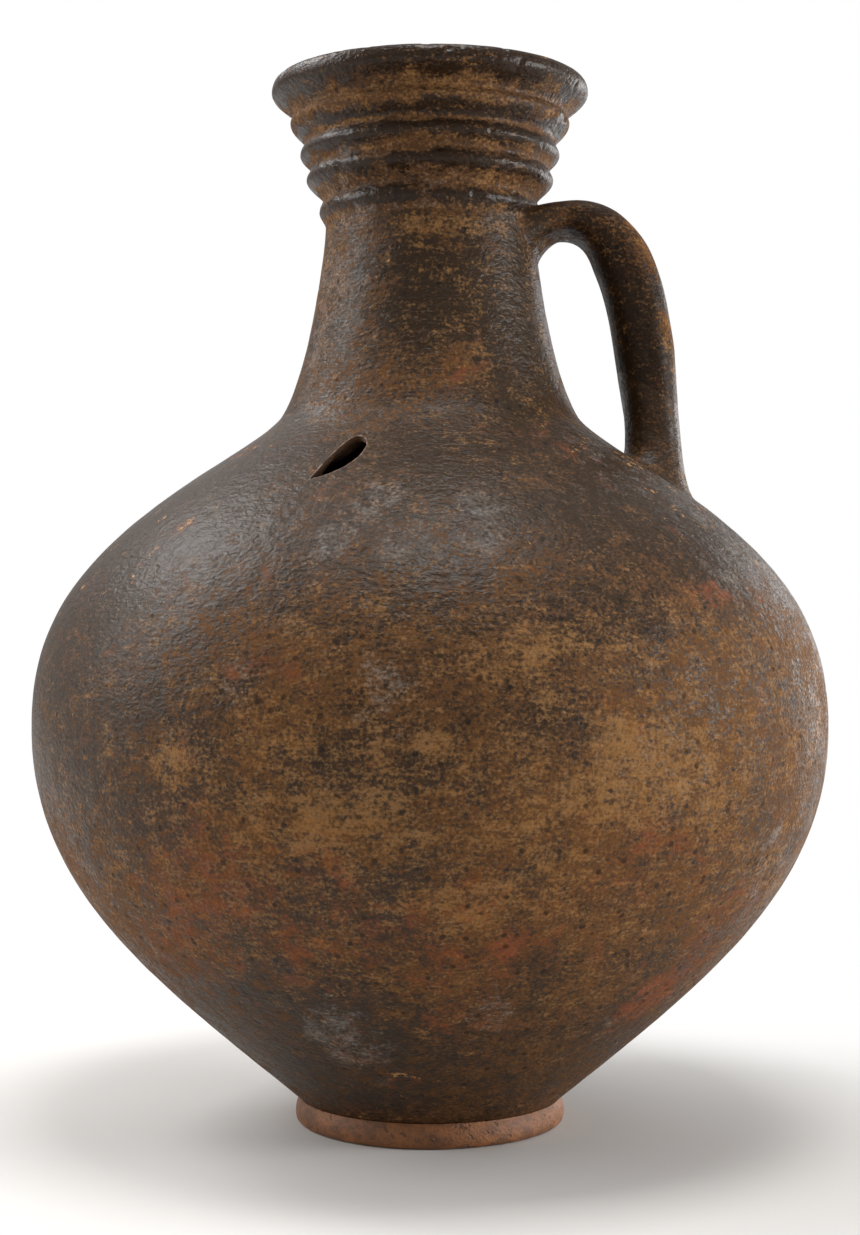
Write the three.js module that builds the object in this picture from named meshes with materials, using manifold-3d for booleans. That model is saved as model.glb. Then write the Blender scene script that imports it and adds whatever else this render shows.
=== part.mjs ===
// A one-handled wine jug of fired clay, built from the sections that a potter throws and lutes together.
// Millimetres, +Z up. The origin is the centre of the foot's underside, and the handle points along +X.
import * as THREE from "three";
import { mergeVertices } from "three/addons/utils/BufferGeometryUtils.js";
import Module from "manifold-3d";

const wasm = await Module();
wasm.setup();

// Clay: the wall of every section, the floor, and the joints between sections
const WALL = 6;
const FLOOR = 9;
const SLIP = 0.3; // layer of luting slip between two pieces
const SEAM_RISE = 4; // each seam climbs inwards by this much, so the upper section centres itself
const COIL_HEIGHT = 26; // coil of clay pressed over a seam on the inside
const COIL_THICKNESS = 4.5;

// Foot ring
const FOOT_HEIGHT = 9.5;
const FOOT_BULGE = 1.5; // how far it bulges past the body that it carries
const FOOT_BULGE_HEIGHT = 3.6;
const FOOT_EDGE = 2; // how far the bulge stands out past the standing face
const FOOT_WIDTH = 12;
const FOOT_LEDGE = 0.1; // how far the ring's top stands out past the body

// Body: bowl, dome and the hollow sweep into the neck. Leans are changes of radius per millimetre of height
const BASE_RADIUS = 50.6;
const BASE_LEAN = 1.19;
const BOWL_RISE = 143.2;
const BELLY_RADIUS = 152;
const DOME_RISE = 95;
const DOME_TOP_RADIUS = 88.7;
const DOME_TOP_LEAN = -1.5;
const SWEEP_RISE = 22.8;
const NECK_ROOT_RADIUS = 57.6;
const NECK_ROOT_LEAN = -0.62;

// Neck
const NECK_RISE = 73.5;
const NECK_RADIUS = 40.6; // at its narrow top

// Ribbed collar: heights are above its seat, and stand is how far it stands out past the neck
const COLLAR_HEIGHT = 56;
const RIBS = [
  { crest: { height: 5.8, stand: 2.5 }, groove: { height: 10.1, stand: 1.1 } },
  { crest: { height: 18, stand: 7.4 }, groove: { height: 22.2, stand: 5.8 } },
  { crest: { height: 27.7, stand: 9.8 }, groove: { height: 32.1, stand: 8.1 } },
  { crest: { height: 39.7, stand: 13.6 }, groove: { height: 42.6, stand: 12.4 } },
];
const RIB_FULLNESS = 0.3; // 0 is an even wave, and 1 is round beads with sharp grooves between them
const LIP_CREST_HEIGHT = 51.3;
const LIP_STAND = 20.7;
const LIP_WIDTH = 6;
const MOUTH_LEAN = 0.85; // slope of the funnel just inside the lip

// How far the leans at the two ends of a stretch of wall carry, as shares of the stretch's chord
const BOWL_PULLS = [0.45, 0.335];
const DOME_PULLS = [0.335, 0.49];
const SWEEP_PULLS = [0.24, 0.18];
const NECK_PULLS = [0.29, 0.06];
const MOUTH_PULLS = [0.4, 0.25];

// Handle: a strap whose centre line leaves the neck, arches over and lands on the shoulder
const HANDLE_TOP_DROP = 0; // below the collar's seat
const HANDLE_TOP_ANGLE = 22; // degrees above the level
const HANDLE_TOP_REACH = 44;
const HANDLE_LANDING_DROP = 22.3; // below the neck's seat
const HANDLE_LANDING_ANGLE = -84;
const HANDLE_LANDING_REACH = 56;
const HANDLE_ROUNDNESS = 2.5; // 2 is an ellipse, and more is squarer
const HANDLE_SECTIONS = [
  { at: 0, thick: 14, wide: 38 },
  { at: 0.1, thick: 14, wide: 37 },
  { at: 0.42, thick: 22.8, wide: 33 },
  { at: 0.7, thick: 23.2, wide: 33 },
  { at: 0.88, thick: 20.8, wide: 34 },
  { at: 1, thick: 20.2, wide: 36 },
];

// Clay worked round the handle's roots: how far it spreads on the strap's outer side, inner side and edges
const LUTING_EDGE = 0.8;
const LUTING_DEEPEST = 1.3; // it goes on spreading a little past the wall's surface
const UPPER_LUTING = { reach: 12, outer: 0.3, inner: 8.5, edge: 4 };
const LOWER_LUTING = { reach: 17, outer: 1.4, inner: 0.6, edge: 4 };

// Leaf-shaped slit broken through the front left of the shoulder, pointed below and round above
const SLIT_TURN = -113.3; // degrees round from the handle
const SLIT_DROP = 20.6; // its middle, below the neck's seat
const SLIT_TILT = 78; // degrees above the level
const SLIT_LENGTH = 30.4;
const SLIT_BELLY = 9.2; // how far its full side bows out
const SLIT_BACK = 1.7; // how far its straighter side bows out
const SLIT_EDGE_DEPTH = 2.5; // square edge outside, before the clay spalls away
const SLIT_SPALL = 3; // how much further the break reaches at its tips on the inside

// The controls of the slit's two sides: along as shares of its half length, out as shares of the side's bow
const SLIT_FULL_SIDE = [{ along: -0.5, out: 1.6 }, { along: 1.1, out: 1 }];
const SLIT_STRAIGHT_SIDE = [{ along: 0.9, out: 2.3 }, { along: -0.33, out: 0.35 }];

// Facets
const TURN_FACETS = 44;
const FOOT_STEPS = 3;
const BOWL_STEPS = 10;
const DOME_STEPS = 9;
const SWEEP_STEPS = 4;
const NECK_STEPS = 6;
const MOUTH_STEPS = 6;
const RIB_STEPS = 3;
const LIP_STEPS = 6;
const SLIT_STEPS = 10;
const STRAP_SIDES = 20;
const STRAP_STEPS = 24;
const LUTING_STEPS = 9;
const SHORTEST_STEP = 0.25; // a profile's steps shorter than this are left out
const SAME_POINT = 1e-4; // corners nearer than this are one corner

// Heights of the seams, stacked up from the foot
const BELLY_SEAM = FOOT_HEIGHT + BOWL_RISE;
const DOME_TOP = BELLY_SEAM + DOME_RISE;
const NECK_SEAM = DOME_TOP + SWEEP_RISE;
const COLLAR_SEAM = NECK_SEAM + NECK_RISE;
const SEAM_LIFT = SLIP / Math.cos(Math.atan2(SEAM_RISE, WALL));

// Profiles: points hold the radius as x and the height as y, from the foot upwards

// A stretch of wall between two points, leaving and arriving at the given leans.
function wallCurve(start, startLean, end, endLean, [startPull, endPull]) {
  const chord = start.distanceTo(end);
  const leave = new THREE.Vector2(startLean, 1).normalize().multiplyScalar(startPull * chord);
  const arrive = new THREE.Vector2(endLean, 1).normalize().multiplyScalar(endPull * chord);
  return new THREE.CubicBezierCurve(start, start.clone().add(leave), end.clone().sub(arrive), end);
}

// The same line moved outwards by a distance, or by a function of the point.
function offset(points, distance) {
  return points.map((point, i) => {
    const before = points[Math.max(i - 1, 0)];
    const after = points[Math.min(i + 1, points.length - 1)];
    const along = after.clone().sub(before).normalize();
    const reach = typeof distance === "function" ? distance(point) : distance;
    return new THREE.Vector2(point.x + along.y * reach, point.y - along.x * reach);
  });
}

// The stretch of a line that a height falls in, as its two ends.
function stretchAt(points, height) {
  const above = points.findIndex((point) => point.y > height);
  const i = above < 0 ? points.length - 2 : Math.max(above - 1, 0);
  return [points[i], points[i + 1]];
}

function radiusAt(points, height) {
  const [low, high] = stretchAt(points, height);
  return THREE.MathUtils.mapLinear(height, low.y, high.y, low.x, high.x);
}

function leanAt(points, height) {
  const [low, high] = stretchAt(points, height);
  return (high.x - low.x) / (high.y - low.y);
}

// The part of a line between two heights, with a point at each end of it.
function between(points, low, high) {
  const inside = points.filter((point) => point.y > low + SHORTEST_STEP && point.y < high - SHORTEST_STEP);
  const ends = [low, high].map((height) => new THREE.Vector2(radiusAt(points, height), height));
  return [ends[0], ...inside, ends[1]];
}

const base = new THREE.Vector2(BASE_RADIUS, FOOT_HEIGHT);
const belly = new THREE.Vector2(BELLY_RADIUS, BELLY_SEAM);
const domeTop = new THREE.Vector2(DOME_TOP_RADIUS, DOME_TOP);
const neckRoot = new THREE.Vector2(NECK_ROOT_RADIUS, NECK_SEAM);
const neckTop = new THREE.Vector2(NECK_RADIUS, COLLAR_SEAM);

const outerWall = [
  ...wallCurve(base, BASE_LEAN, belly, 0, BOWL_PULLS).getPoints(BOWL_STEPS),
  ...wallCurve(belly, 0, domeTop, DOME_TOP_LEAN, DOME_PULLS).getPoints(DOME_STEPS).slice(1),
  ...wallCurve(domeTop, DOME_TOP_LEAN, neckRoot, NECK_ROOT_LEAN, SWEEP_PULLS).getPoints(SWEEP_STEPS).slice(1),
  ...wallCurve(neckRoot, NECK_ROOT_LEAN, neckTop, 0, NECK_PULLS).getPoints(NECK_STEPS).slice(1),
];

// How far a rib has swollen at a share of the way from its groove out to its crest.
function ribSwell(share) {
  const wave = (1 - Math.cos(Math.PI * share)) / 2;
  const bead = Math.sin((Math.PI / 2) * share);
  return THREE.MathUtils.lerp(wave, bead, RIB_FULLNESS);
}

// The collar's outside: through each crest and groove in turn, up to the lip's widest point.
function collarOutside() {
  const seat = { height: 0, stand: 0 };
  const lipCrest = { height: LIP_CREST_HEIGHT, stand: LIP_STAND };
  const turns = [seat, ...RIBS.flatMap(({ crest, groove }) => [crest, groove]), lipCrest];
  const points = [neckTop.clone()];
  for (let i = 1; i < turns.length; i++) {
    const from = turns[i - 1];
    const to = turns[i];
    for (let step = 1; step <= RIB_STEPS; step++) {
      const share = step / RIB_STEPS;
      const swell = to.stand > from.stand ? ribSwell(share) : 1 - ribSwell(1 - share);
      const height = THREE.MathUtils.lerp(from.height, to.height, share);
      const stand = THREE.MathUtils.lerp(from.stand, to.stand, swell);
      points.push(new THREE.Vector2(NECK_RADIUS + stand, COLLAR_SEAM + height));
    }
  }
  return points;
}

const lipCentre = new THREE.Vector2(NECK_RADIUS + LIP_STAND - LIP_WIDTH / 2, COLLAR_SEAM + LIP_CREST_HEIGHT);
const lipRise = COLLAR_HEIGHT - LIP_CREST_HEIGHT;
const lipRound = new THREE.EllipseCurve(lipCentre.x, lipCentre.y, LIP_WIDTH / 2, lipRise, 0, Math.PI);
const lip = lipRound.getPoints(LIP_STEPS);

const throat = new THREE.Vector2(NECK_RADIUS - WALL, COLLAR_SEAM);
const mouthEdge = new THREE.Vector2(lipCentre.x - LIP_WIDTH / 2, lipCentre.y);
const funnel = wallCurve(throat, 0, mouthEdge, MOUTH_LEAN, MOUTH_PULLS).getPoints(MOUTH_STEPS);
const innerWall = [...offset(outerWall, -WALL).slice(0, -1), ...funnel];
const collarWall = collarOutside();

// Solids

// Turns a profile about the axis. A profile that leaves the axis is closed on itself.
function turned(points) {
  const closed = points[0].x > 0 ? [...points, points[0]] : points;
  return new THREE.LatheGeometry(closed, TURN_FACETS).rotateX(Math.PI / 2);
}

// Skins a row of rings, each with as many points, and closes both ends.
function lofted(rings) {
  const sides = rings[0].length;
  const corners = rings.flat();
  const faces = [];
  for (let ring = 0; ring < rings.length - 1; ring++) {
    for (let side = 0; side < sides; side++) {
      const near = ring * sides + side;
      const beside = ring * sides + ((side + 1) % sides);
      faces.push(near, beside, beside + sides, near, beside + sides, near + sides);
    }
  }
  [0, rings.length - 1].forEach((ring, end) => {
    const middle = corners.length;
    corners.push(rings[ring].reduce((sum, point) => sum.add(point), new THREE.Vector3()).divideScalar(sides));
    for (let side = 0; side < sides; side++) {
      const edge = [ring * sides + side, ring * sides + ((side + 1) % sides)];
      faces.push(middle, edge[1 - end], edge[end]);
    }
  });
  return new THREE.BufferGeometry().setFromPoints(corners).setIndex(faces);
}

function solidOf(geometry) {
  const bare = geometry.clone();
  bare.deleteAttribute("normal");
  bare.deleteAttribute("uv");
  const merged = mergeVertices(bare, SAME_POINT);
  const corners = merged.index.array;
  const triVerts = [];
  for (let i = 0; i < corners.length; i += 3) {
    const [a, b, c] = corners.slice(i, i + 3);
    if (a !== b && b !== c && c !== a) triVerts.push(a, b, c);
  }
  const vertProperties = merged.attributes.position.array;
  const mesh = new wasm.Mesh({ numProp: 3, vertProperties, triVerts: new Uint32Array(triVerts) });
  return new wasm.Manifold(mesh);
}

function geometryOf(solid) {
  const mesh = solid.getMesh();
  const geometry = new THREE.BufferGeometry();
  geometry.setAttribute("position", new THREE.BufferAttribute(mesh.vertProperties, 3));
  return geometry.setIndex(new THREE.BufferAttribute(mesh.triVerts, 1));
}

// Foot ring: a bulging ring with a recess beneath the floor, standing on its flat underside.
function footRing() {
  const top = FOOT_HEIGHT - SLIP;
  const widest = BASE_RADIUS + FOOT_BULGE;
  const bore = widest - FOOT_WIDTH;
  const standing = new THREE.Vector2(widest - FOOT_EDGE, 0);
  const bulge = new THREE.Vector2(widest, FOOT_BULGE_HEIGHT);
  const shoulder = new THREE.Vector2(BASE_RADIUS + FOOT_LEDGE, top);
  const under = new THREE.QuadraticBezierCurve(standing, new THREE.Vector2(widest, 0), bulge);
  const turnIn = new THREE.Vector2(widest, (bulge.y + top) / 2);
  const over = new THREE.QuadraticBezierCurve(bulge, turnIn, shoulder);
  const chamfer = FOOT_EDGE / 2;
  return turned([
    new THREE.Vector2(bore + chamfer, 0),
    ...under.getPoints(FOOT_STEPS),
    ...over.getPoints(FOOT_STEPS).slice(1),
    new THREE.Vector2(bore, top),
    new THREE.Vector2(bore, chamfer),
  ]);
}

// Lower body: the bowl with its floor, up to the widest part of the belly.
function lowerBody() {
  const floorTop = FOOT_HEIGHT + FLOOR;
  return turned([
    new THREE.Vector2(0, FOOT_HEIGHT),
    ...between(outerWall, FOOT_HEIGHT, BELLY_SEAM),
    ...between(innerWall, floorTop, BELLY_SEAM + SEAM_RISE).reverse(),
    new THREE.Vector2(0, floorTop),
  ]);
}

// A section of wall from just above one seam up to the next.
function wallSection(seam, nextSeam) {
  return turned([
    ...between(outerWall, seam + SEAM_LIFT, nextSeam),
    ...between(innerWall, seam + SEAM_RISE + SEAM_LIFT, nextSeam + SEAM_RISE).reverse(),
  ]);
}

// Ribbed collar: the ribs outside, the rounded lip, and the funnel of the mouth inside.
function ribbedCollar() {
  return turned([
    ...between(collarWall, COLLAR_SEAM + SEAM_LIFT, lipCentre.y).slice(0, -1),
    ...lip.slice(0, -1),
    ...between(innerWall, COLLAR_SEAM + SEAM_RISE + SEAM_LIFT, mouthEdge.y).reverse(),
  ]);
}

// Coil pressed over a seam on the inside: thick over the seam and feathered out above and below it.
function seamCoil(seam) {
  const low = seam + SEAM_RISE / 2 - COIL_HEIGHT / 2;
  const back = between(offset(innerWall, -SLIP), low, low + COIL_HEIGHT);
  const front = offset(back, ({ y }) => -COIL_THICKNESS * Math.sin((Math.PI * (y - low)) / COIL_HEIGHT));
  return turned([...back, ...front.slice(1, -1).reverse()]);
}

// The slit's outline, pointed at its lower tip, with its full side down and its straighter side up.
function slitOutline() {
  const half = SLIT_LENGTH / 2;
  const [fullNear, fullFar] = SLIT_FULL_SIDE.map(({ along, out }) => [along * half, -out * SLIT_BELLY]);
  const [backFar, backNear] = SLIT_STRAIGHT_SIDE.map(({ along, out }) => [along * half, out * SLIT_BACK]);
  const outline = new THREE.Shape();
  outline.moveTo(-half, 0);
  outline.bezierCurveTo(...fullNear, ...fullFar, half, 0);
  outline.bezierCurveTo(...backFar, ...backNear, -half, 0);
  return outline.getPoints(SLIT_STEPS).slice(0, -1);
}

// Cutter for the slit, set square to the shoulder where the slit is: straight outside and widening inside.
function slitCutter() {
  const cutDepth = 2 * WALL;
  const spallShare = (cutDepth - SLIT_EDGE_DEPTH) / (WALL - SLIT_EDGE_DEPTH);
  const levels = [
    { depth: cutDepth, spread: 1 + (spallShare * SLIT_SPALL) / (SLIT_LENGTH / 2) },
    { depth: SLIT_EDGE_DEPTH, spread: 1 },
    { depth: -WALL, spread: 1 },
  ];
  const rim = slitOutline();
  const rings = levels.map(({ depth, spread }) => {
    return rim.map(({ x, y }) => new THREE.Vector3(x * spread, y * spread, -depth));
  });
  const height = NECK_SEAM - SLIT_DROP;
  const uphill = new THREE.Vector3(leanAt(outerWall, height), 0, 1).normalize();
  const level = new THREE.Vector3(0, 1, 0);
  const outwards = level.clone().cross(uphill);
  return lofted(rings)
    .rotateZ(THREE.MathUtils.degToRad(SLIT_TILT))
    .applyMatrix4(new THREE.Matrix4().makeBasis(level, uphill, outwards))
    .translate(radiusAt(outerWall, height), 0, height)
    .rotateZ(THREE.MathUtils.degToRad(SLIT_TURN));
}

// Upper body: the shoulder dome from the belly seam to the neck seam, with the slit broken through it.
function upperBody() {
  const dome = solidOf(wallSection(BELLY_SEAM, NECK_SEAM));
  return geometryOf(dome.subtract(solidOf(slitCutter())));
}

// Handle

// What the handle is shaped against: the jug's outside above the belly, filled in, with the slip on it.
function vesselWithSlip() {
  const aboveBelly = outerWall.filter((point) => point.y > BELLY_SEAM);
  const outside = offset([...aboveBelly, ...collarWall.slice(1)], SLIP);
  const last = outside[outside.length - 1];
  return solidOf(turned([new THREE.Vector2(0, outside[0].y), ...outside, new THREE.Vector2(0, last.y)]));
}

// A direction in the handle's upright plane, given as degrees above the level.
function upright(degrees) {
  const angle = THREE.MathUtils.degToRad(degrees);
  return new THREE.Vector3(Math.cos(angle), 0, Math.sin(angle));
}

function onWall(height) {
  return new THREE.Vector3(radiusAt(outerWall, height), 0, height);
}

const handleTop = onWall(COLLAR_SEAM - HANDLE_TOP_DROP);
const handleLanding = onWall(NECK_SEAM - HANDLE_LANDING_DROP);
const leaving = upright(HANDLE_TOP_ANGLE);
const arriving = upright(HANDLE_LANDING_ANGLE);
const strapLine = new THREE.CubicBezierCurve3(
  handleTop,
  handleTop.clone().addScaledVector(leaving, HANDLE_TOP_REACH),
  handleLanding.clone().addScaledVector(arriving, -HANDLE_LANDING_REACH),
  handleLanding,
);
const strapLength = strapLine.getLength();

// The strap's thickness and width at a share of its length, eased between the listed sections.
function strapSize(share) {
  const next = Math.max(HANDLE_SECTIONS.findIndex((section) => section.at >= share), 1);
  const from = HANDLE_SECTIONS[next - 1];
  const to = HANDLE_SECTIONS[next];
  const ease = THREE.MathUtils.smoothstep(share, from.at, to.at);
  return {
    thick: THREE.MathUtils.lerp(from.thick, to.thick, ease),
    wide: THREE.MathUtils.lerp(from.wide, to.wide, ease),
  };
}

// One ring of the strap at a distance along its centre line, which runs straight on past both ends.
// Growth adds to the section, and may depend on the direction round it and on the bare section's point.
function strapRing(distance, growth) {
  const share = THREE.MathUtils.clamp(distance / strapLength, 0, 1);
  const along = strapLine.getTangentAt(share);
  const beyond = distance - share * strapLength;
  const middle = strapLine.getPointAt(share).addScaledVector(along, beyond);
  const outwards = new THREE.Vector3(-along.z, 0, along.x);
  const sideways = along.clone().cross(outwards);
  const { thick, wide } = strapSize(share);
  const corner = (value) => Math.sign(value) * Math.abs(value) ** (2 / HANDLE_ROUNDNESS);
  return Array.from({ length: STRAP_SIDES }, (_, side) => {
    const turn = (2 * Math.PI * side) / STRAP_SIDES;
    const across = corner(Math.cos(turn));
    const aside = corner(Math.sin(turn));
    const at = (extra) => middle.clone()
      .addScaledVector(outwards, across * (thick / 2 + extra))
      .addScaledVector(sideways, aside * (wide / 2 + extra));
    return at(typeof growth === "function" ? growth(turn, at(0)) : growth);
  });
}

// The strap between two distances along its centre line.
function strap(from, to, steps, growth) {
  const step = (to - from) / steps;
  const rings = Array.from({ length: steps + 1 }, (_, i) => strapRing(from + i * step, growth));
  return solidOf(lofted(rings));
}

// The strap and its luting run on into the wall by this much before they are cut to it.
const ROOT_DEPTH = WALL + HANDLE_SECTIONS[0].wide / 4;
const LANDING_DEPTH = HANDLE_SECTIONS[HANDLE_SECTIONS.length - 1].thick;
const vessel = vesselWithSlip();

// The whole strap with both its roots, grown all round by a distance.
function wholeStrap(growth) {
  return strap(-ROOT_DEPTH, strapLength + LANDING_DEPTH, STRAP_STEPS, growth);
}

// Handle: the strap, cut to the walls of the neck and the shoulder at its two roots.
function handle() {
  return geometryOf(wholeStrap(0).subtract(vessel));
}

// Clay round one root: it spreads from the strap on to the wall, most where the strap is nearest to the wall.
function rootLuting(from, to, { reach, outer, inner, edge }) {
  const spread = (turn, point) => {
    const clearance = Math.hypot(point.x, point.y) - radiusAt(outerWall, point.z);
    const nearness = THREE.MathUtils.clamp(1 - clearance / reach, 0, LUTING_DEEPEST);
    const face = Math.cos(turn) > 0 ? outer : inner;
    const most = face * Math.cos(turn) ** 2 + edge * Math.sin(turn) ** 2;
    return LUTING_EDGE + SLIP + most * nearness ** 2;
  };
  return geometryOf(strap(from, to, LUTING_STEPS, spread).subtract(wholeStrap(SLIP)).subtract(vessel));
}

function upperLuting() {
  return rootLuting(-ROOT_DEPTH, UPPER_LUTING.reach, UPPER_LUTING);
}

function lowerLuting() {
  return rootLuting(strapLength - LOWER_LUTING.reach, strapLength + LANDING_DEPTH, LOWER_LUTING);
}

// Finishes: dark burnished coat, worn brown, bare clay at the foot, and unburnished clay inside
const burnished = { color: 0x3d2c20, roughness: 0.42, metalness: 0 };
const worn = { color: 0x5a4029, roughness: 0.55, metalness: 0 };
const bareClay = { color: 0x7a4f30, roughness: 0.75, metalness: 0 };
const insideClay = { color: 0x6b4a33, roughness: 0.85, metalness: 0 };

function piece(name, geometry, finish) {
  const mesh = new THREE.Mesh(geometry, new THREE.MeshStandardMaterial(finish));
  mesh.name = name;
  return mesh;
}

const body = new THREE.Group();
body.add(
  piece("foot_ring", footRing(), bareClay),
  piece("lower_body", lowerBody(), worn),
  piece("belly_seam_coil", seamCoil(BELLY_SEAM), insideClay),
  piece("upper_body", upperBody(), burnished),
);

const neckAndMouth = new THREE.Group();
neckAndMouth.add(
  piece("neck_seam_coil", seamCoil(NECK_SEAM), insideClay),
  piece("neck", wallSection(NECK_SEAM, COLLAR_SEAM), worn),
  piece("ribbed_collar", ribbedCollar(), burnished),
);

const handleAndLuting = new THREE.Group();
handleAndLuting.add(
  piece("handle", handle(), burnished),
  piece("handle_upper_luting", upperLuting(), worn),
  piece("handle_lower_luting", lowerLuting(), worn),
);

const jug = new THREE.Group();
jug.add(body, neckAndMouth, handleAndLuting);

export default jug;
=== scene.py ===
"""Wine jug of fired clay: the visual model, in metres, with +Z up its axis and the handle towards +X."""
import logging
import math
from dataclasses import dataclass, field
from enum import Enum
from typing import Callable, Optional, Sequence, Union

import bpy
import numpy as np
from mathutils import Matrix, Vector, noise


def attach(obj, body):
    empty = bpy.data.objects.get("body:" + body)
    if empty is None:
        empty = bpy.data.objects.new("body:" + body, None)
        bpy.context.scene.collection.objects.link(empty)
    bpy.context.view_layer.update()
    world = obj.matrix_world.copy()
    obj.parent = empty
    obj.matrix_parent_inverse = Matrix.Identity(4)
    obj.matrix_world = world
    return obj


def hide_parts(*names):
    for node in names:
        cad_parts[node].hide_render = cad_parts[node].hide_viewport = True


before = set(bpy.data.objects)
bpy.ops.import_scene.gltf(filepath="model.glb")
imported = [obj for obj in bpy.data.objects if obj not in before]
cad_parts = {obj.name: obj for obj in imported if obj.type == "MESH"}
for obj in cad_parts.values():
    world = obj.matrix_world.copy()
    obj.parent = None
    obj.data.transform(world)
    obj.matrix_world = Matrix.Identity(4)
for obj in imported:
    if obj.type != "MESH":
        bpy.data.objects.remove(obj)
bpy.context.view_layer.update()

LOG = logging.getLogger("wine_jug")
MM = 0.001
BODY = "root"

# Points of a mesh closer together than this are one
MERGE = 0.002 * MM

# A point whose skin mark is above this lies on the outside
ON_SKIN = 0.5

# Sharpest turn between two faces that is shaded smooth, in degrees
SMOOTH_ANGLE = 50.0

# Names of the attributes that a piece's surface carries
SKIN = "skin"
OUT_ACROSS = "out_across"
OUT_UP = "out_up"
HOLLOW = "hollow"
ZONES = "zones"

Point = tuple[float, float]
Colour = tuple[float, float, float, float]
Amounts = tuple[float, float, float, float]
Socket = bpy.types.NodeSocket
Value = Union[Socket, float, tuple]


def colour(red: float, green: float, blue: float) -> Colour:
    """Turns a screen colour, each part 0 to 255, into the linear colour that a shader takes."""
    parts = []
    for part in (red, green, blue):
        share = part / 255.0
        parts.append(share / 12.92 if share <= 0.04045 else ((share + 0.055) / 1.055) ** 2.4)
    return (parts[0], parts[1], parts[2], 1.0)


def soft_step(values: np.ndarray, low: float, high: float) -> np.ndarray:
    """Rises smoothly from 0 at low to 1 at high, or falls where low is above high."""
    share = np.clip((values - low) / (high - low), 0.0, 1.0)
    return share * share * (3.0 - 2.0 * share)


def swell(points: np.ndarray, size: float, octaves: int = 2, shift: float = 0.0) -> np.ndarray:
    """Gives smooth random heights about 0 at points in space.

    Args:
        points: Places in metres, one row each.
        size: Width of the largest bumps, in metres.
        octaves: Number of layers of finer and finer bumps.
        shift: Moves the pattern, so that two patterns of one size differ.

    Returns:
        One height a point, mostly between -1 and 1.
    """
    scaled = (points / size + shift).tolist()
    return np.array([noise.fractal(place, 1.0, 2.0, octaves) for place in scaled])


class Slot(Enum):
    """Material slots of the record."""

    BURNISHED = "burnished_coat"
    WORN = "worn_coat"
    BARE = "bare_clay"
    INSIDE = "inside_clay"


class Wear(Enum):
    """Kinds of wear and soil, each a channel of the zones attribute."""

    DARK = 0
    OCHRE = 1
    RUST = 2
    # Grey film: partly lime, partly painted sheen
    FILM_AND_SHEEN = 3


@dataclass(frozen=True)
class Dents:
    """One size of random unevenness: its depth, the width of its bumps and its number of layers."""

    depth: float
    size: float
    octaves: int = 1
    shift: float = 0.0

    def heights(self, points: np.ndarray) -> np.ndarray:
        """Gives the bumps' heights at points in space, mostly between -1 and 1, without the depth."""
        return swell(points, self.size, self.octaves, self.shift)


def turns_of(points: np.ndarray) -> np.ndarray:
    """Gives the turn of some points in degrees, from the front towards the handle."""
    return np.degrees(np.arctan2(points[:, 0], -points[:, 1]))


def bell(values: np.ndarray, middle: float, spread: float) -> np.ndarray:
    """Gives 1 at the middle and falls off smoothly on both sides."""
    return np.exp(-(((values - middle) / spread) ** 2))


@dataclass(frozen=True)
class Patch:
    """A soft-edged patch of wear on the jug's outside.

    Turn is in degrees round from the front towards the handle. The height and half sizes are in millimetres.
    """

    turn: float
    height: float
    wide: float
    tall: float
    amount: float
    tilt: float = 0.0

    def reach(self, turn: np.ndarray, height: np.ndarray, around: np.ndarray) -> np.ndarray:
        """Gives how far points lie from the patch's middle, as a share of its half sizes.

        Args:
            turn: Turns of the points in degrees.
            height: Their heights in millimetres.
            around: Their distances from the jug's axis in millimetres.

        Returns:
            One share a point, 1 at the patch's edge.
        """
        across = np.radians(turn - self.turn) * around
        up = height - self.height
        lean = math.radians(self.tilt)
        along = across * math.cos(lean) + up * math.sin(lean)
        aside = up * math.cos(lean) - across * math.sin(lean)
        return np.hypot(along / self.wide, aside / self.tall)


@dataclass(frozen=True)
class WearLayer:
    """One kind of wear: what the plain jug has of it, what each zone of the jug adds, and its patches."""

    plain: float
    drift: float
    low: float = 0.0
    belly: float = 0.0
    shoulder: float = 0.0
    neck: float = 0.0
    left: float = 0.0
    right: float = 0.0
    fired: float = 0.0
    patches: tuple[Patch, ...] = ()


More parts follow.
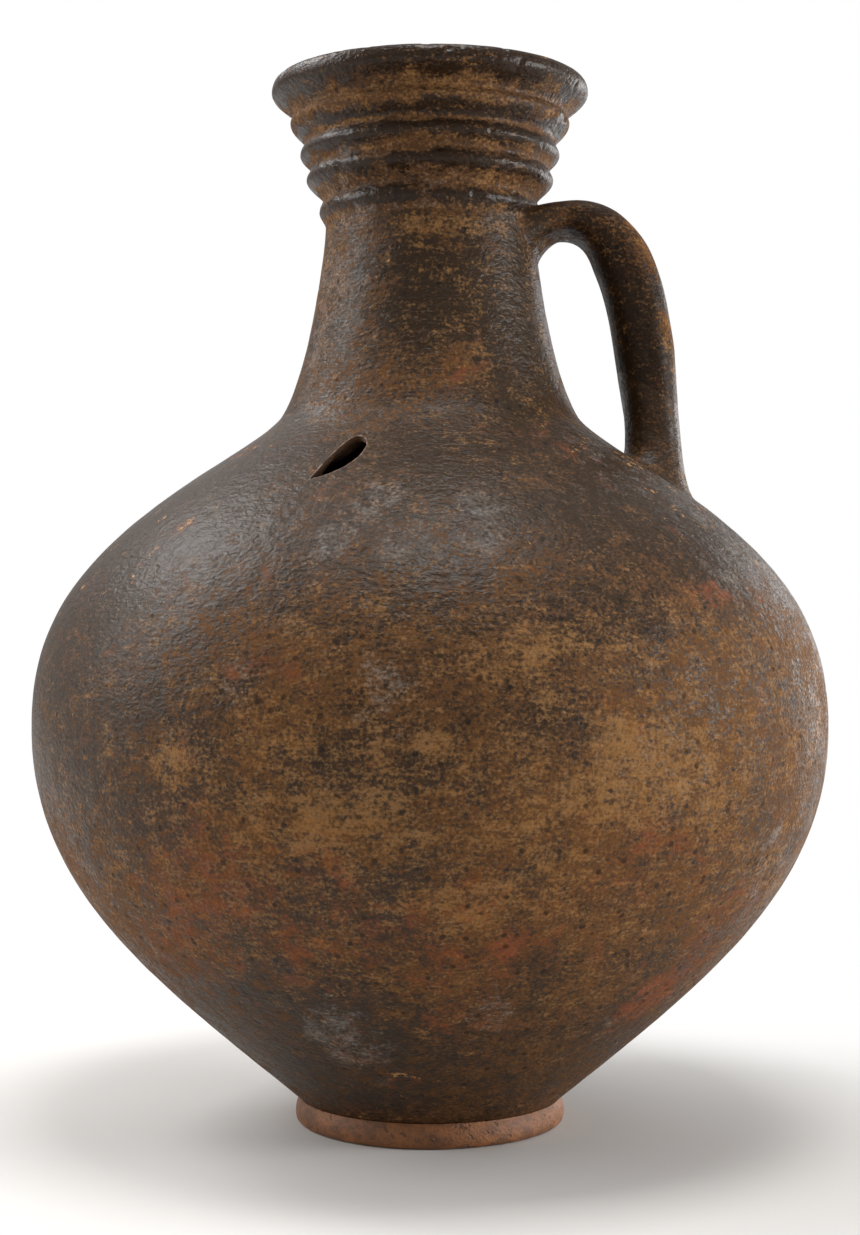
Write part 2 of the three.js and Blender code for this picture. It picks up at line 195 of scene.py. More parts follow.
@dataclass(frozen=True)
class WearMap:
    """Where the coat is dark, worn to ochre, fired to rust or filmed with lime, over the whole jug.

    Limits say where a zone starts and where it is full, in millimetres of height or degrees of turn. A band
    has its middle height and its spread, in millimetres. The film's right zone and its patches on the lower
    right and the right flank are painted sheen, its shoulder zone partly so, and its patch down the neck's
    left is a painted highlight. One dark patch is the handle's painted shade on the neck's right.
    """

    dark: WearLayer = WearLayer(
        plain=0.45, drift=0.1, low=0.05, shoulder=0.26, neck=0.1, left=0.26, right=0.26,
        patches=(
            # These two patches make the lower left darker
            Patch(-31, 44, 55, 30, 0.24),
            Patch(-25, 88, 60, 26, 0.14),
            Patch(-12, 104, 45, 16, 0.12),
            Patch(-8, 146, 30, 12, 0.25),
            Patch(24, 192, 28, 10, 0.14),
            Patch(15, 161, 18, 10, 0.1),
            Patch(4, 312, 26, 18, 0.6),
            # Painted shade: the neck's right side darkened where the handle shades it
            Patch(50, 305, 28, 42, 0.4),
            Patch(2, 245, 18, 9, 0.3),
            Patch(-3, 284, 26, 11, -0.1),
            Patch(14, 262, 40, 10, 0.14),
        ),
    )
    ochre: WearLayer = WearLayer(
        plain=0.42, drift=0.1, low=-0.12, belly=0.12, shoulder=-0.1, left=-0.14, right=-0.2,
        patches=(
            Patch(-10, 126, 32, 14, 0.2),
            Patch(10, 180, 22, 12, 0.2),
            Patch(28, 144, 40, 18, 0.2),
            Patch(4, 101, 18, 10, 0.2),
            Patch(-3, 284, 24, 11, 0.04),
            Patch(5, 338, 26, 4, 0.3),
            Patch(0.5, 153.4, 7, 4, 0.35),
            Patch(-45, 153, 4, 6, 0.3),
            Patch(-33, 148, 12, 8, 0.2),
        ),
    )
    rust: WearLayer = WearLayer(
        plain=0.12, drift=0.14, right=0.1, fired=0.2,
        patches=(
            Patch(-21.4, 176.6, 13, 4.5, 0.45),
            Patch(-6.6, 148, 5, 2, 0.5, 40),
            Patch(8.2, 57.8, 14, 9, 0.25),
            Patch(14.3, 88.4, 14, 9, 0.28),
            Patch(43.9, 201, 10, 5, 0.5),
            Patch(32.9, 120.5, 14, 7, 0.3),
            Patch(-32.8, 103, 24, 16, 0.08),
            Patch(-26, 94, 60, 30, 0.14),
            Patch(44.8, 59, 16, 10, 0.3),
            Patch(-2, 336, 3, 2, 0.5),
            Patch(15, 283, 9, 2.5, 0.4, 25),
        ),
    )
    # Grey lime film; its right zone is painted sheen on the dark slip, its shoulder zone partly painted sheen
    film: WearLayer = WearLayer(
        plain=0.05, drift=0.12, shoulder=0.12, right=0.2,
        patches=(
            Patch(-8, 236, 13, 7, 0.3),
            Patch(-14, 222, 16, 7, 0.27, 40),
            Patch(8.4, 233, 10, 7, 0.32),
            Patch(-4.6, 219, 9, 8, 0.25),
            Patch(9, 219, 10, 8, 0.3),
            Patch(-5.5, 170.6, 11, 16, 0.4),
            Patch(-18, 48, 16, 17, 0.45),
            Patch(10, 60, 10, 12, 0.45),
            # Painted highlight: a grey band down the neck's left
            Patch(-50, 312, 25, 42, 0.4),
            # Painted sheen: grey on the lower right and on the right flank
            Patch(84, 78, 90, 52, 0.36),
            Patch(64, 165, 40, 60, 0.3),
            Patch(-24, 172, 9, 12, 0.3),
        ),
    )
    low_limits: Point = (95, 30)
    neck_limits: Point = (262, 292)
    belly_band: Point = (140, 55)
    shoulder_band: Point = (235, 38)
    fired_band: Point = (85, 38)
    left_turns: Point = (-12, -50)
    left_back: Point = (-175, -115)
    left_foot: Point = (90, 145)
    left_top: Point = (290, 240)
    right_turns: Point = (22, 60)
    right_back: Point = (175, 115)
    right_foot: Point = (185, 225)
    right_top: Point = (275, 255)
    drift_size: float = 34 * MM
    drift_shift: float = 17.0
    ragged: float = 0.6
    ragged_size: float = 9 * MM
    ragged_shift: float = 71.0
    octaves: int = 3
    patch_edge: Point = (1.35, 0.45)

    def covers(self, turn: np.ndarray, height: np.ndarray) -> dict[str, np.ndarray]:
        """Gives how far each zone of the jug covers some points.

        Args:
            turn: Turns of the points in degrees.
            height: Their heights in millimetres.

        Returns:
            A share a point, 0 to 1, under the name that a layer of wear has for the zone.
        """
        left = soft_step(turn, *self.left_turns) * soft_step(turn, *self.left_back)
        right = soft_step(turn, *self.right_turns) * soft_step(turn, *self.right_back)
        return {
            "low": soft_step(height, *self.low_limits),
            "belly": bell(height, *self.belly_band),
            "shoulder": bell(height, *self.shoulder_band),
            "neck": soft_step(height, *self.neck_limits),
            "left": left * soft_step(height, *self.left_foot) * soft_step(height, *self.left_top),
            "right": right * soft_step(height, *self.right_foot) * soft_step(height, *self.right_top),
            "fired": bell(height, *self.fired_band),
        }

    def paint(self, points: np.ndarray) -> np.ndarray:
        """Gives the wear of each zone with the patches laid over it.

        Args:
            points: Places in metres, one row each.

        Returns:
            Four columns, one for each kind of wear.
        """
        turn = turns_of(points)
        height = points[:, 2] / MM
        around = np.hypot(points[:, 0], points[:, 1]) / MM
        ragged = self.ragged * swell(points, self.ragged_size, self.octaves, self.ragged_shift)
        covers = self.covers(turn, height)
        columns = []
        for kind, layer in zip(Wear, (self.dark, self.ochre, self.rust, self.film)):
            drift = swell(points, self.drift_size, self.octaves, self.drift_shift * kind.value)
            column = layer.plain + layer.drift * drift
            for zone, cover in covers.items():
                column += getattr(layer, zone) * cover
            for patch in layer.patches:
                reach = patch.reach(turn, height, around) + ragged
                column += patch.amount * soft_step(reach, *self.patch_edge)
            columns.append(column)
        return np.column_stack(columns)


def cubic(start: np.ndarray, leave: np.ndarray, arrive: np.ndarray, end: np.ndarray,
          at: np.ndarray) -> np.ndarray:
    """Gives points on a smooth curve.

    Args:
        start: Its first point.
        leave: Point that it heads for as it leaves the first.
        arrive: Point that it comes from as it reaches the last.
        end: Its last point.
        at: Shares of the way along it, with a last axis of one.

    Returns:
        A point for each share.
    """
    back = 1 - at
    return back**3 * start + 3 * at * back**2 * leave + 3 * at**2 * back * arrive + at**3 * end


def headings(line: np.ndarray) -> np.ndarray:
    """Gives the unit directions along a line of points."""
    along = np.gradient(line, axis=0)
    return along / np.linalg.norm(along, axis=1)[:, None]


@dataclass(frozen=True)
class WallCurve:
    """A stretch of thrown wall between two points, leaving and arriving at given leans."""

    start: Point
    start_lean: float
    end: Point
    end_lean: float
    pulls: Point

    def points(self, steps: int) -> np.ndarray:
        """Samples the stretch.

        Args:
            steps: Number of steps along it.

        Returns:
            Rows of radius and height, from its start to its end.
        """
        start = np.array(self.start)
        end = np.array(self.end)
        chord = np.linalg.norm(end - start)
        leave = start + self.heading(self.start_lean) * self.pulls[0] * chord
        arrive = end - self.heading(self.end_lean) * self.pulls[1] * chord
        return cubic(start, leave, arrive, end, np.linspace(0, 1, steps + 1)[:, None])

    @staticmethod
    def heading(lean: float) -> np.ndarray:
        """Gives the unit direction that leans out by so much for each step up."""
        return np.array([lean, 1]) / math.hypot(lean, 1)


def spaced(line: np.ndarray, step: float) -> np.ndarray:
    """Sets points along a line at an even spacing.

    Args:
        line: Rows of radius and height.
        step: Wanted spacing.

    Returns:
        The new rows, with both ends kept.
    """
    lengths = np.concatenate([[0], np.cumsum(np.linalg.norm(np.diff(line, axis=0), axis=1))])
    count = max(2, int(round(lengths[-1] / step)) + 1)
    at = np.linspace(0, lengths[-1], count)
    return np.column_stack([np.interp(at, lengths, line[:, 0]), np.interp(at, lengths, line[:, 1])])


def offset_line(line: np.ndarray, distance: float) -> np.ndarray:
    """Moves a line outwards along its own normals."""
    along = headings(line)
    return line + distance * np.column_stack([along[:, 1], -along[:, 0]])


def stretch(line: np.ndarray, low: float, high: float, step: float, tight: float = 0.0) -> np.ndarray:
    """Cuts the part of a rising line between two heights and spaces its points evenly.

    Args:
        line: Rows of radius and height, rising.
        low: Height of the first point.
        high: Height of the last point.
        step: Wanted spacing.
        tight: Height of a narrow step at each end, which keeps the shading even across a seam.

    Returns:
        The new rows.
    """
    inside = line[(line[:, 1] > low) & (line[:, 1] < high)]
    ends = [(np.interp(z, line[:, 1], line[:, 0]), z) for z in (low, high)]
    even = spaced(np.vstack([ends[0], inside, ends[1]]), step)
    if not tight:
        return even
    extra = [(np.interp(z, line[:, 1], line[:, 0]), z) for z in (low + tight, high - tight)]
    return np.vstack([even[:1], extra[0], even[1:-1], extra[1], even[-1:]])


@dataclass
class JugWall:
    """The jug's outline, from its driving sizes: one wall that the thrown sections share."""

    foot_top: float = 9.5 * MM
    base_radius: float = 50.6 * MM
    base_lean: float = 1.19
    belly_seam: float = 152.7 * MM
    belly_radius: float = 152 * MM
    dome_top: float = 247.7 * MM
    dome_radius: float = 88.7 * MM
    dome_lean: float = -1.5
    neck_seam: float = 270.5 * MM
    neck_root_radius: float = 57.6 * MM
    neck_root_lean: float = -0.62
    collar_seam: float = 344 * MM
    neck_radius: float = 40.6 * MM
    lip_height: float = 395.3 * MM
    mouth_radius: float = 55.3 * MM
    mouth_lean: float = 0.85
    thickness: float = 6 * MM
    seam_rise: float = 4 * MM
    base_pulls: Point = (0.45, 0.335)
    dome_pulls: Point = (0.335, 0.49)
    root_pulls: Point = (0.24, 0.18)
    neck_pulls: Point = (0.29, 0.06)
    mouth_pulls: Point = (0.4, 0.25)
    steps: int = 400
    mouth_steps: int = 200
    outer: np.ndarray = field(init=False)
    inner: np.ndarray = field(init=False)

    def __post_init__(self) -> None:
        """Works out the dense outer and inner lines."""
        base = (self.base_radius, self.foot_top)
        belly = (self.belly_radius, self.belly_seam)
        dome = (self.dome_radius, self.dome_top)
        root = (self.neck_root_radius, self.neck_seam)
        top = (self.neck_radius, self.collar_seam)
        curves = (
            WallCurve(base, self.base_lean, belly, 0, self.base_pulls),
            WallCurve(belly, 0, dome, self.dome_lean, self.dome_pulls),
            WallCurve(dome, self.dome_lean, root, self.neck_root_lean, self.root_pulls),
            WallCurve(root, self.neck_root_lean, top, 0, self.neck_pulls),
        )
        lines = [curve.points(self.steps) for curve in curves]
        self.outer = np.vstack([lines[0]] + [line[1:] for line in lines[1:]])
        throat = (self.neck_radius - self.thickness, self.collar_seam)
        mouth = (self.mouth_radius, self.lip_height)
        funnel = WallCurve(throat, 0, mouth, self.mouth_lean, self.mouth_pulls).points(self.mouth_steps)
        self.inner = np.vstack([offset_line(self.outer, -self.thickness)[:-1], funnel])

    def radius_at(self, height: np.ndarray) -> np.ndarray:
        """Gives the outside radius at some heights."""
        return np.interp(height, self.outer[:, 1], self.outer[:, 0])


class Workbench:
    """Mesh operators that more than one piece uses."""

    @staticmethod
    def clear() -> None:
        """Leaves edit mode and deselects everything."""
        if bpy.context.object and bpy.context.object.mode != "OBJECT":
            bpy.ops.object.mode_set(mode="OBJECT")
        bpy.ops.object.select_all(action="DESELECT")

    @staticmethod
    def pick(piece: bpy.types.Object) -> None:
        """Selects one piece alone and makes it the active one."""
        Workbench.clear()
        piece.select_set(True)
        bpy.context.view_layer.objects.active = piece

    @staticmethod
    def edit(piece: bpy.types.Object) -> None:
        """Goes into edit mode on one piece with all of it selected."""
        Workbench.pick(piece)
        bpy.ops.object.mode_set(mode="EDIT")
        bpy.ops.mesh.select_mode(type="VERT")
        bpy.ops.mesh.select_all(action="SELECT")

    @staticmethod
    def edit_edges(piece: bpy.types.Object, wanted: Callable[[np.ndarray], bool]) -> None:
        """Goes into edit mode on one piece with the edges selected whose two ends both pass a test."""
        Workbench.edit(piece)
        bpy.ops.mesh.select_mode(type="EDGE")
        bpy.ops.mesh.select_all(action="DESELECT")
        bpy.ops.object.mode_set(mode="OBJECT")
        points = Workbench.points(piece)
        for edge in piece.data.edges:
            edge.select = all(wanted(points[end]) for end in edge.vertices)
        bpy.ops.object.mode_set(mode="EDIT")

    @staticmethod
    def named(name: str) -> bpy.types.Object:
        """Names the primitive that was just added."""
        piece = bpy.context.object
        piece.name = name
        piece.data.name = name
        return piece

    @staticmethod
    def set_values(piece: bpy.types.Object, name: str, values: np.ndarray) -> None:
        """Writes a number at each point of a piece as an attribute."""
        layer = piece.data.attributes.get(name) or piece.data.attributes.new(name, "FLOAT", "POINT")
        layer.data.foreach_set("value", np.asarray(values, dtype=np.float32))

    @staticmethod
    def values(piece: bpy.types.Object, name: str) -> np.ndarray:
        """Reads a number at each point of a piece from an attribute."""
        found = np.zeros(len(piece.data.vertices), dtype=np.float32)
        piece.data.attributes[name].data.foreach_get("value", found)
        return found.astype(float)

    @staticmethod
    def points(piece: bpy.types.Object) -> np.ndarray:
        """Reads a piece's points, one row each."""
        found = np.zeros(len(piece.data.vertices) * 3, dtype=np.float32)
        piece.data.vertices.foreach_get("co", found)
        return found.reshape(-1, 3).astype(float)

    @staticmethod
    def move(piece: bpy.types.Object, points: np.ndarray) -> None:
        """Moves a piece's points to new places."""
        piece.data.vertices.foreach_set("co", np.asarray(points, dtype=np.float32).ravel())
        piece.data.update()

    @staticmethod
    def close_up(piece: bpy.types.Object, fill: bool = False) -> None:
        """Merges doubled points, closes holes if asked and turns all faces outwards."""
        Workbench.edit(piece)
        bpy.ops.mesh.remove_doubles(threshold=MERGE)
        if fill:
            bpy.ops.mesh.fill_holes(sides=0)
            bpy.ops.mesh.select_all(action="SELECT")
        bpy.ops.mesh.normals_make_consistent(inside=False)
        bpy.ops.object.mode_set(mode="OBJECT")

    @staticmethod
    def smooth(piece: bpy.types.Object, angle: float = SMOOTH_ANGLE) -> None:
        """Shades a piece smooth, apart from edges that turn more than an angle in degrees."""
        Workbench.pick(piece)
        bpy.ops.object.shade_smooth_by_angle(angle=math.radians(angle))

    @staticmethod
    def thrown(name: str, profile: "Profile", steps: int) -> bpy.types.Object:
        """Turns a closed profile about the jug's axis, as on a wheel.

        Args:
            name: Name of the piece.
            profile: Section line with its marks.
            steps: Number of steps in the full turn.

        Returns:
            The turned piece, closed and facing outwards.
        """
        Workbench.clear()
        bpy.ops.mesh.primitive_circle_add(vertices=len(profile.line), radius=MM, fill_type="NOTHING")
        piece = Workbench.named(name)
        line = profile.line
        Workbench.move(piece, np.column_stack([line[:, 0], np.zeros(len(line)), line[:, 1]]))
        for mark, values in profile.marks().items():
            Workbench.set_values(piece, mark, values)
        if profile.meets_axis:
            Workbench.edit_edges(piece, lambda point: point[0] == 0)
            bpy.ops.mesh.delete(type="EDGE_FACE")
            bpy.ops.object.mode_set(mode="OBJECT")
        wheel = piece.modifiers.new("wheel", "SCREW")
        wheel.axis = "Z"
        wheel.angle = 2 * math.pi
        wheel.steps = steps
        wheel.render_steps = steps
        bpy.ops.object.modifier_apply(modifier=wheel.name)
        Workbench.close_up(piece)
        return piece

    @staticmethod
    def woven(name: str, points: np.ndarray, fill: bool) -> bpy.types.Object:
        """Lays a grid over rows of points and joins its edges where they meet.

        Args:
            name: Name of the piece.
            points: Rows of rings of places, the first and last place of each ring the same.
            fill: Whether open ends are filled.

        Returns:
            The closed piece.
        """
        rows, columns = points.shape[:2]
        Workbench.clear()
        bpy.ops.mesh.primitive_grid_add(x_subdivisions=columns - 1, y_subdivisions=rows - 1, size=2)
        piece = Workbench.named(name)
        flat = Workbench.points(piece)
        column = np.rint((flat[:, 0] + 1) / 2 * (columns - 1)).astype(int)
        row = np.rint((flat[:, 1] + 1) / 2 * (rows - 1)).astype(int)
        Workbench.move(piece, points[row, column])
        Workbench.close_up(piece, fill)
        return piece

    @staticmethod
    def face_values(piece: bpy.types.Object, name: str) -> np.ndarray:
        """Gives the least value of an attribute over each face's points."""
        mesh = piece.data
        corners = np.zeros(len(mesh.loops), dtype=np.int32)
        mesh.loops.foreach_get("vertex_index", corners)
        starts = np.zeros(len(mesh.polygons), dtype=np.int32)
        mesh.polygons.foreach_get("loop_start", starts)
        return np.minimum.reduceat(Workbench.values(piece, name)[corners], starts)


@dataclass
class Profile:
    """A section line through one side of a thrown piece, with what each point of it belongs to."""

    line: np.ndarray
    skin: np.ndarray
    hollow: Optional[np.ndarray] = None

    @staticmethod
    def joined(outside: np.ndarray, inside: np.ndarray, hollow: Optional[np.ndarray] = None) -> "Profile":
        """Makes a profile of an outer and an inner line.

        Args:
            outside: Rows of radius and height along the outside.
            inside: Rows that lead back to the start along the inside.
            hollow: How deep in a groove each point of the outside lies, 0 to 1.

        Returns:
            The closed profile.
        """
        skin = np.concatenate([np.ones(len(outside)), np.zeros(len(inside))])
        groove = None
        if hollow is not None:
            groove = np.concatenate([hollow, np.zeros(len(inside))])
        return Profile(np.vstack([outside, inside]), skin, groove)

    @property
    def meets_axis(self) -> bool:
        """Whether the line starts and ends on the jug's axis."""
        return bool(self.line[0, 0] == 0 and self.line[-1, 0] == 0)

    def marks(self) -> dict[str, np.ndarray]:
        """Gives the attributes that the turned piece carries at each point."""
        outside = self.skin > ON_SKIN
        along = headings(self.line[outside])
        across = np.zeros(len(self.line))
        up = np.zeros(len(self.line))
        across[outside] = along[:, 1]
        up[outside] = -along[:, 0]
        hollow = np.zeros(len(self.line)) if self.hollow is None else self.hollow
        return {SKIN: self.skin, OUT_ACROSS: across, OUT_UP: up, HOLLOW: hollow}


@dataclass(frozen=True)
class Speckle:
    """A pattern of random spots.

    Size is the width of the largest spots in millimetres, detail the number of finer layers, rough how strong
    these are and twist how distorted. Squeeze is how many times narrower the spots are along X, Y and Z, and
    shift moves the pattern by so many millimetres.
    """

    size: float
    detail: float = 1.0
    rough: float = 0.5
    twist: float = 0.0
    squeeze: Optional[tuple[float, float, float]] = None
    shift: float = 0.0


class NodeSheet:
    """Lays out the nodes of one material or node group."""

    def __init__(self, tree: bpy.types.NodeTree) -> None:
        """Takes the tree that the nodes go in."""
        self.tree = tree

    def feed(self, socket: Socket, value: Value) -> None:
        """Links another socket to a socket, or sets its value."""
        if isinstance(value, bpy.types.NodeSocket):
            self.tree.links.new(value, socket)
        else:
            socket.default_value = value

    def feed_all(self, node: bpy.types.Node, inputs: dict[Union[str, int], Value]) -> None:
        """Feeds several sockets of a node."""
        for name, value in inputs.items():
            self.feed(node.inputs[name], value)

    def node(self, kind: str, inputs: Optional[dict] = None, **settings: object) -> bpy.types.Node:
        """Adds a node.

        Args:
            kind: Blender's name for the node.
            inputs: What goes in its sockets, by name or number.
            settings: Its other settings.

        Returns:
            The new node.
        """
        node = self.tree.nodes.new(kind)
        for name, value in settings.items():
            setattr(node, name, value)
        self.feed_all(node, inputs or {})
        return node

    def math(self, operation: str, *values: Value) -> Socket:
        """Adds a Math node and gives its result."""
        inputs = dict(enumerate(values))
        return self.node("ShaderNodeMath", inputs, operation=operation).outputs[0]

    def total(self, *values: Value) -> Socket:
        """Adds up several values."""
        result = values[0]
        for value in values[1:]:
            result = self.math("ADD", result, value)
        return result

    def spread(self, value: Socket, gain: float) -> Socket:
        """Centres a noise on 0 and widens it."""
        return self.math("MULTIPLY_ADD", value, gain, -0.5 * gain)

    def noise(self, place: Socket, speckle: Speckle, output: str = "Fac") -> Socket:
        """Adds a Noise Texture.

        Args:
            place: Position in millimetres.
            speckle: Its pattern of spots.
            output: Output that is wanted, Fac or Color.

        Returns:
            That output.
        """
        if speckle.squeeze:
            place = self.vector("MULTIPLY", place, speckle.squeeze)
        if speckle.shift:
            place = self.vector("ADD", place, (speckle.shift,) * 3)
        inputs = {
            "Vector": place,
            "Scale": 1.0 / speckle.size,
            "Detail": speckle.detail,
            "Roughness": speckle.rough,
            "Distortion": speckle.twist,
        }
        return self.node("ShaderNodeTexNoise", inputs).outputs[output]

    def vector(self, operation: str, first: Value, second: Value) -> Socket:
        """Adds a Vector Math node and gives its result."""
        other = "Scale" if operation == "SCALE" else 1
        inputs = {0: first, other: second}
        return self.node("ShaderNodeVectorMath", inputs, operation=operation).outputs[0]

    def step(self, value: Socket, low: float, high: float) -> Socket:
        """Rises smoothly from 0 at low to 1 at high."""
        inputs = {"Value": value, "From Min": low, "From Max": high}
        node = self.node("ShaderNodeMapRange", inputs, interpolation_type="SMOOTHSTEP")
        return node.outputs["Result"]

    def mix(self, share: Value, first: Value, second: Value) -> Socket:
        """Mixes two colours."""
        node = self.node("ShaderNodeMix", data_type="RGBA")
        self.feed_all(node, {0: share, 6: first, 7: second})
        return node.outputs[2]

    def split(self, value: Socket) -> tuple[Socket, Socket, Socket]:
        """Splits a colour in its three parts."""
        node = self.node("ShaderNodeSeparateColor", {"Color": value})
        return node.outputs[0], node.outputs[1], node.outputs[2]

    def bump(self, height: Socket) -> Socket:
        """Turns a height in millimetres into a normal."""
        inputs = {"Height": height, "Distance": MM, "Strength": 1.0}
        return self.node("ShaderNodeBump", inputs).outputs["Normal"]

    def seen(self) -> Socket:
        """Gives 1 for what the camera sees, straight or in a reflection, and 0 for light on the jug."""
        path = self.node("ShaderNodeLightPath").outputs
        mirrored = self.math("MAXIMUM", path["Is Glossy Ray"], path["Is Transmission Ray"])
        return self.math("MAXIMUM", path["Is Camera Ray"], mirrored)

    def place(self) -> Socket:
        """Gives the place on the piece in metres."""
        return self.node("ShaderNodeTexCoord").outputs["Object"]

    def millimetres(self) -> Socket:
        """Gives the place on the piece in millimetres."""
        return self.vector("SCALE", self.place(), 1.0 / MM)


@dataclass(frozen=True)
class WearMask:
    """How one colour of the coat breaks up.

    Clouds, blots and flecks are the gains of three sizes of spots that are added to the colour's zone, and
    parts says which part of each is read. The colour shows from start on, is full at full and covers by
    strength what is beneath it there. It changes the roughness by so much.
    """

    clouds: float
    blots: float
    flecks: float
    parts: tuple[int, int, int]
    start: float
    full: float
    strength: float = 1.0
    roughness: float = 0.0


class ClayEffects:
    """Node groups that several finishes share, with the spots and the limits that they are made of."""

    # The coat's spots and colours
    CLOUDS: Speckle = Speckle(24, 4, 0.6, 0.5, shift=15)
    BLOTS: Speckle = Speckle(6.5, 5, 0.68, 0.3, (1, 1, 1.2))
    FLECKS: Speckle = Speckle(1.3, 3, 0.6, 0.2, (1, 1, 1.15), 40)
    DASHES: Speckle = Speckle(3.6, 3, 0.6, 0.2, (0.4, 0.4, 1.7), 70)
    GRAIN: Speckle = Speckle(0.8, shift=90)
    DARK: WearMask = WearMask(0.6, 1.0, 1.5, (0, 0, 0), 0.26, 0.74, roughness=-0.52)
    OCHRE: WearMask = WearMask(0.5, 1.0, 1.5, (1, 1, 1), 0.4, 0.98, 0.85, 0.1)
    RUST: WearMask = WearMask(1.2, 1.4, 1.0, (2, 2, 2), 0.28, 0.95, 0.8, 0.2)
    # Grey film: lime deposits, and painted sheen where the zones lay it on
    FILM_AND_SHEEN: WearMask = WearMask(-0.6, -1.0, 1.2, (1, 0, 1), 0.3, 1.0, 0.65, 0.2)
    CHIP: WearMask = WearMask(0.8, 1.6, 0.9, (2, 1, 2), 0.42, 0.48, 0.8)
    DASH_GAIN: float = 0.8
    CHIP_BY_OCHRE: float = -0.8
    CHIP_SHARE: float = 0.28
    PLAIN_ROUGHNESS: float = 0.82
    FLECK_ROUGHNESS: float = 0.15
    GRAIN_SHADE: float = 0.7
    GRAIN_LEAST: float = 0.65
    BLOT_SHADE: float = 0.5

    # Small round pits, which are dark
    DOT_SPACING: float = 4.2
    DOT_SHARE: Point = (0.66, 0.7)
    DOT_EDGE: Point = (0.32, 0.18)
    DOT_SHADE: float = -0.6

    # The coat's relief, in millimetres
    STROKES: Speckle = Speckle(1.8, 1, 0.5, 0.3, (0.7, 0.7, 1.4))
    LUMPS: Speckle = Speckle(8, 1, 0.5, 0.2, shift=55)
    FIBRES: Speckle = Speckle(4.5, 2, 0.55, 0.8, shift=35)
    SCRATCHES: Speckle = Speckle(5, 1, 0.5, 0.2, (0.35, 0.35, 2.4), 25)
    PITS: Speckle = Speckle(3.4, 1, 0.4, shift=75)
    PIT_EDGE: Point = (0.36, 0.28)
    PIT_HEIGHT: float = -0.12
    STROKE_HEIGHT: float = 0.38
    LUMP_HEIGHT: float = 0.45
    FIBRE_HEIGHT: float = 0.45
    SCRATCH_HEIGHT: float = 0.2

    # Bare clay
    SAND: Speckle = Speckle(1.1, 2, 0.6, shift=30)
    STAIN: Speckle = Speckle(8, 5, 0.65, 0.4, (1, 1, 1.6), 10)
    CLAY_PITS: Speckle = Speckle(2.6, shift=66)
    CLAY_PIT_EDGE: Point = (0.37, 0.3)
    CLAY_PIT_HEIGHT: float = -0.2
    CLAY_PIT_SOIL: float = 0.5
    STAIN_SOIL: float = 2.2
    SAND_SOIL: float = 0.9
    SOIL_EDGE: Point = (0.2, 0.9)
    SAND_SHADE: float = 0.6
    SAND_LEAST: float = 0.7
    SAND_HEIGHT: float = 0.3
    STAIN_HEIGHT: float = 0.35

    @staticmethod
    def group(name: str, inputs: Sequence[tuple[str, str]], outputs: Sequence[tuple[str, str]]) -> tuple:
        """Starts a node group.

        Args:
            name: Name of the group.
            inputs: Names and kinds of its inputs.
            outputs: Names and kinds of its outputs.

        Returns:
            The group, its sheet, the sockets that its inputs give and its output node.
        """
        tree = bpy.data.node_groups.new(name, "ShaderNodeTree")
        for side, sockets in (("INPUT", inputs), ("OUTPUT", outputs)):
            for label, kind in sockets:
                tree.interface.new_socket(label, in_out=side, socket_type="NodeSocket" + kind)
        sheet = NodeSheet(tree)
        return tree, sheet, sheet.node("NodeGroupInput").outputs, sheet.node("NodeGroupOutput")

    @classmethod
    def coat_colours(cls) -> bpy.types.NodeTree:
        """Mottled coat: dark slip, worn ochre, rust, a grey film and chips, each broken up by spots. The grey
        film is partly lime and partly painted sheen.

        Returns:
            The node group.
        """
        name = "coat_colours"
        if name in bpy.data.node_groups:
            return bpy.data.node_groups[name]
        inputs = [("Place", "Vector"), ("Zones", "Color"), ("Lime", "Float"), ("Matt", "Float")]
        inputs += [(label, "Color") for label in ("Dark", "Brown", "Ochre", "Rust", "Film", "Chip")]
        outputs = [("Color", "Color"), ("Roughness", "Float")]
        tree, sheet, given, out = cls.group(name, inputs, outputs)
        place = given["Place"]
        sizes = (cls.CLOUDS, cls.BLOTS, cls.FLECKS)
        spots = [sheet.split(sheet.noise(place, size, "Color")) for size in sizes]
        dashes = sheet.noise(place, cls.DASHES)
        grain = sheet.noise(place, cls.GRAIN)
        dark, ochre, rust = sheet.split(given["Zones"])
        chips = sheet.math("MULTIPLY_ADD", ochre, cls.CHIP_BY_OCHRE, cls.CHIP_SHARE)
        layers = (
            ("Dark", cls.DARK, dark),
            ("Ochre", cls.OCHRE, sheet.total(ochre, sheet.spread(dashes, cls.DASH_GAIN))),
            ("Rust", cls.RUST, rust),
            # The grey film layer is partly lime and partly painted sheen
            ("Film", cls.FILM_AND_SHEEN, given["Lime"]),
            ("Chip", cls.CHIP, chips),
        )
        tone = given["Brown"]
        fleck = sheet.spread(spots[2][2], cls.FLECK_ROUGHNESS)
        rough = sheet.total(given["Matt"], cls.PLAIN_ROUGHNESS, fleck)
        for label, mask, zone in layers:
            cover = cls.cover(sheet, mask, zone, spots)
            tone = sheet.mix(sheet.math("MULTIPLY", cover, mask.strength), tone, given[label])
            rough = sheet.math("MULTIPLY_ADD", cover, mask.roughness, rough)
        grey = sheet.math("MULTIPLY_ADD", grain, cls.GRAIN_SHADE, cls.GRAIN_LEAST)
        shade = sheet.total(grey, sheet.spread(spots[1][2], cls.BLOT_SHADE))
        pitted = sheet.math("MULTIPLY_ADD", cls.dots(sheet, place), cls.DOT_SHADE, 1.0)
        shaded = sheet.vector("SCALE", tone, sheet.math("MULTIPLY", shade, pitted))
        sheet.feed_all(out, {"Color": shaded, "Roughness": rough})
        return tree

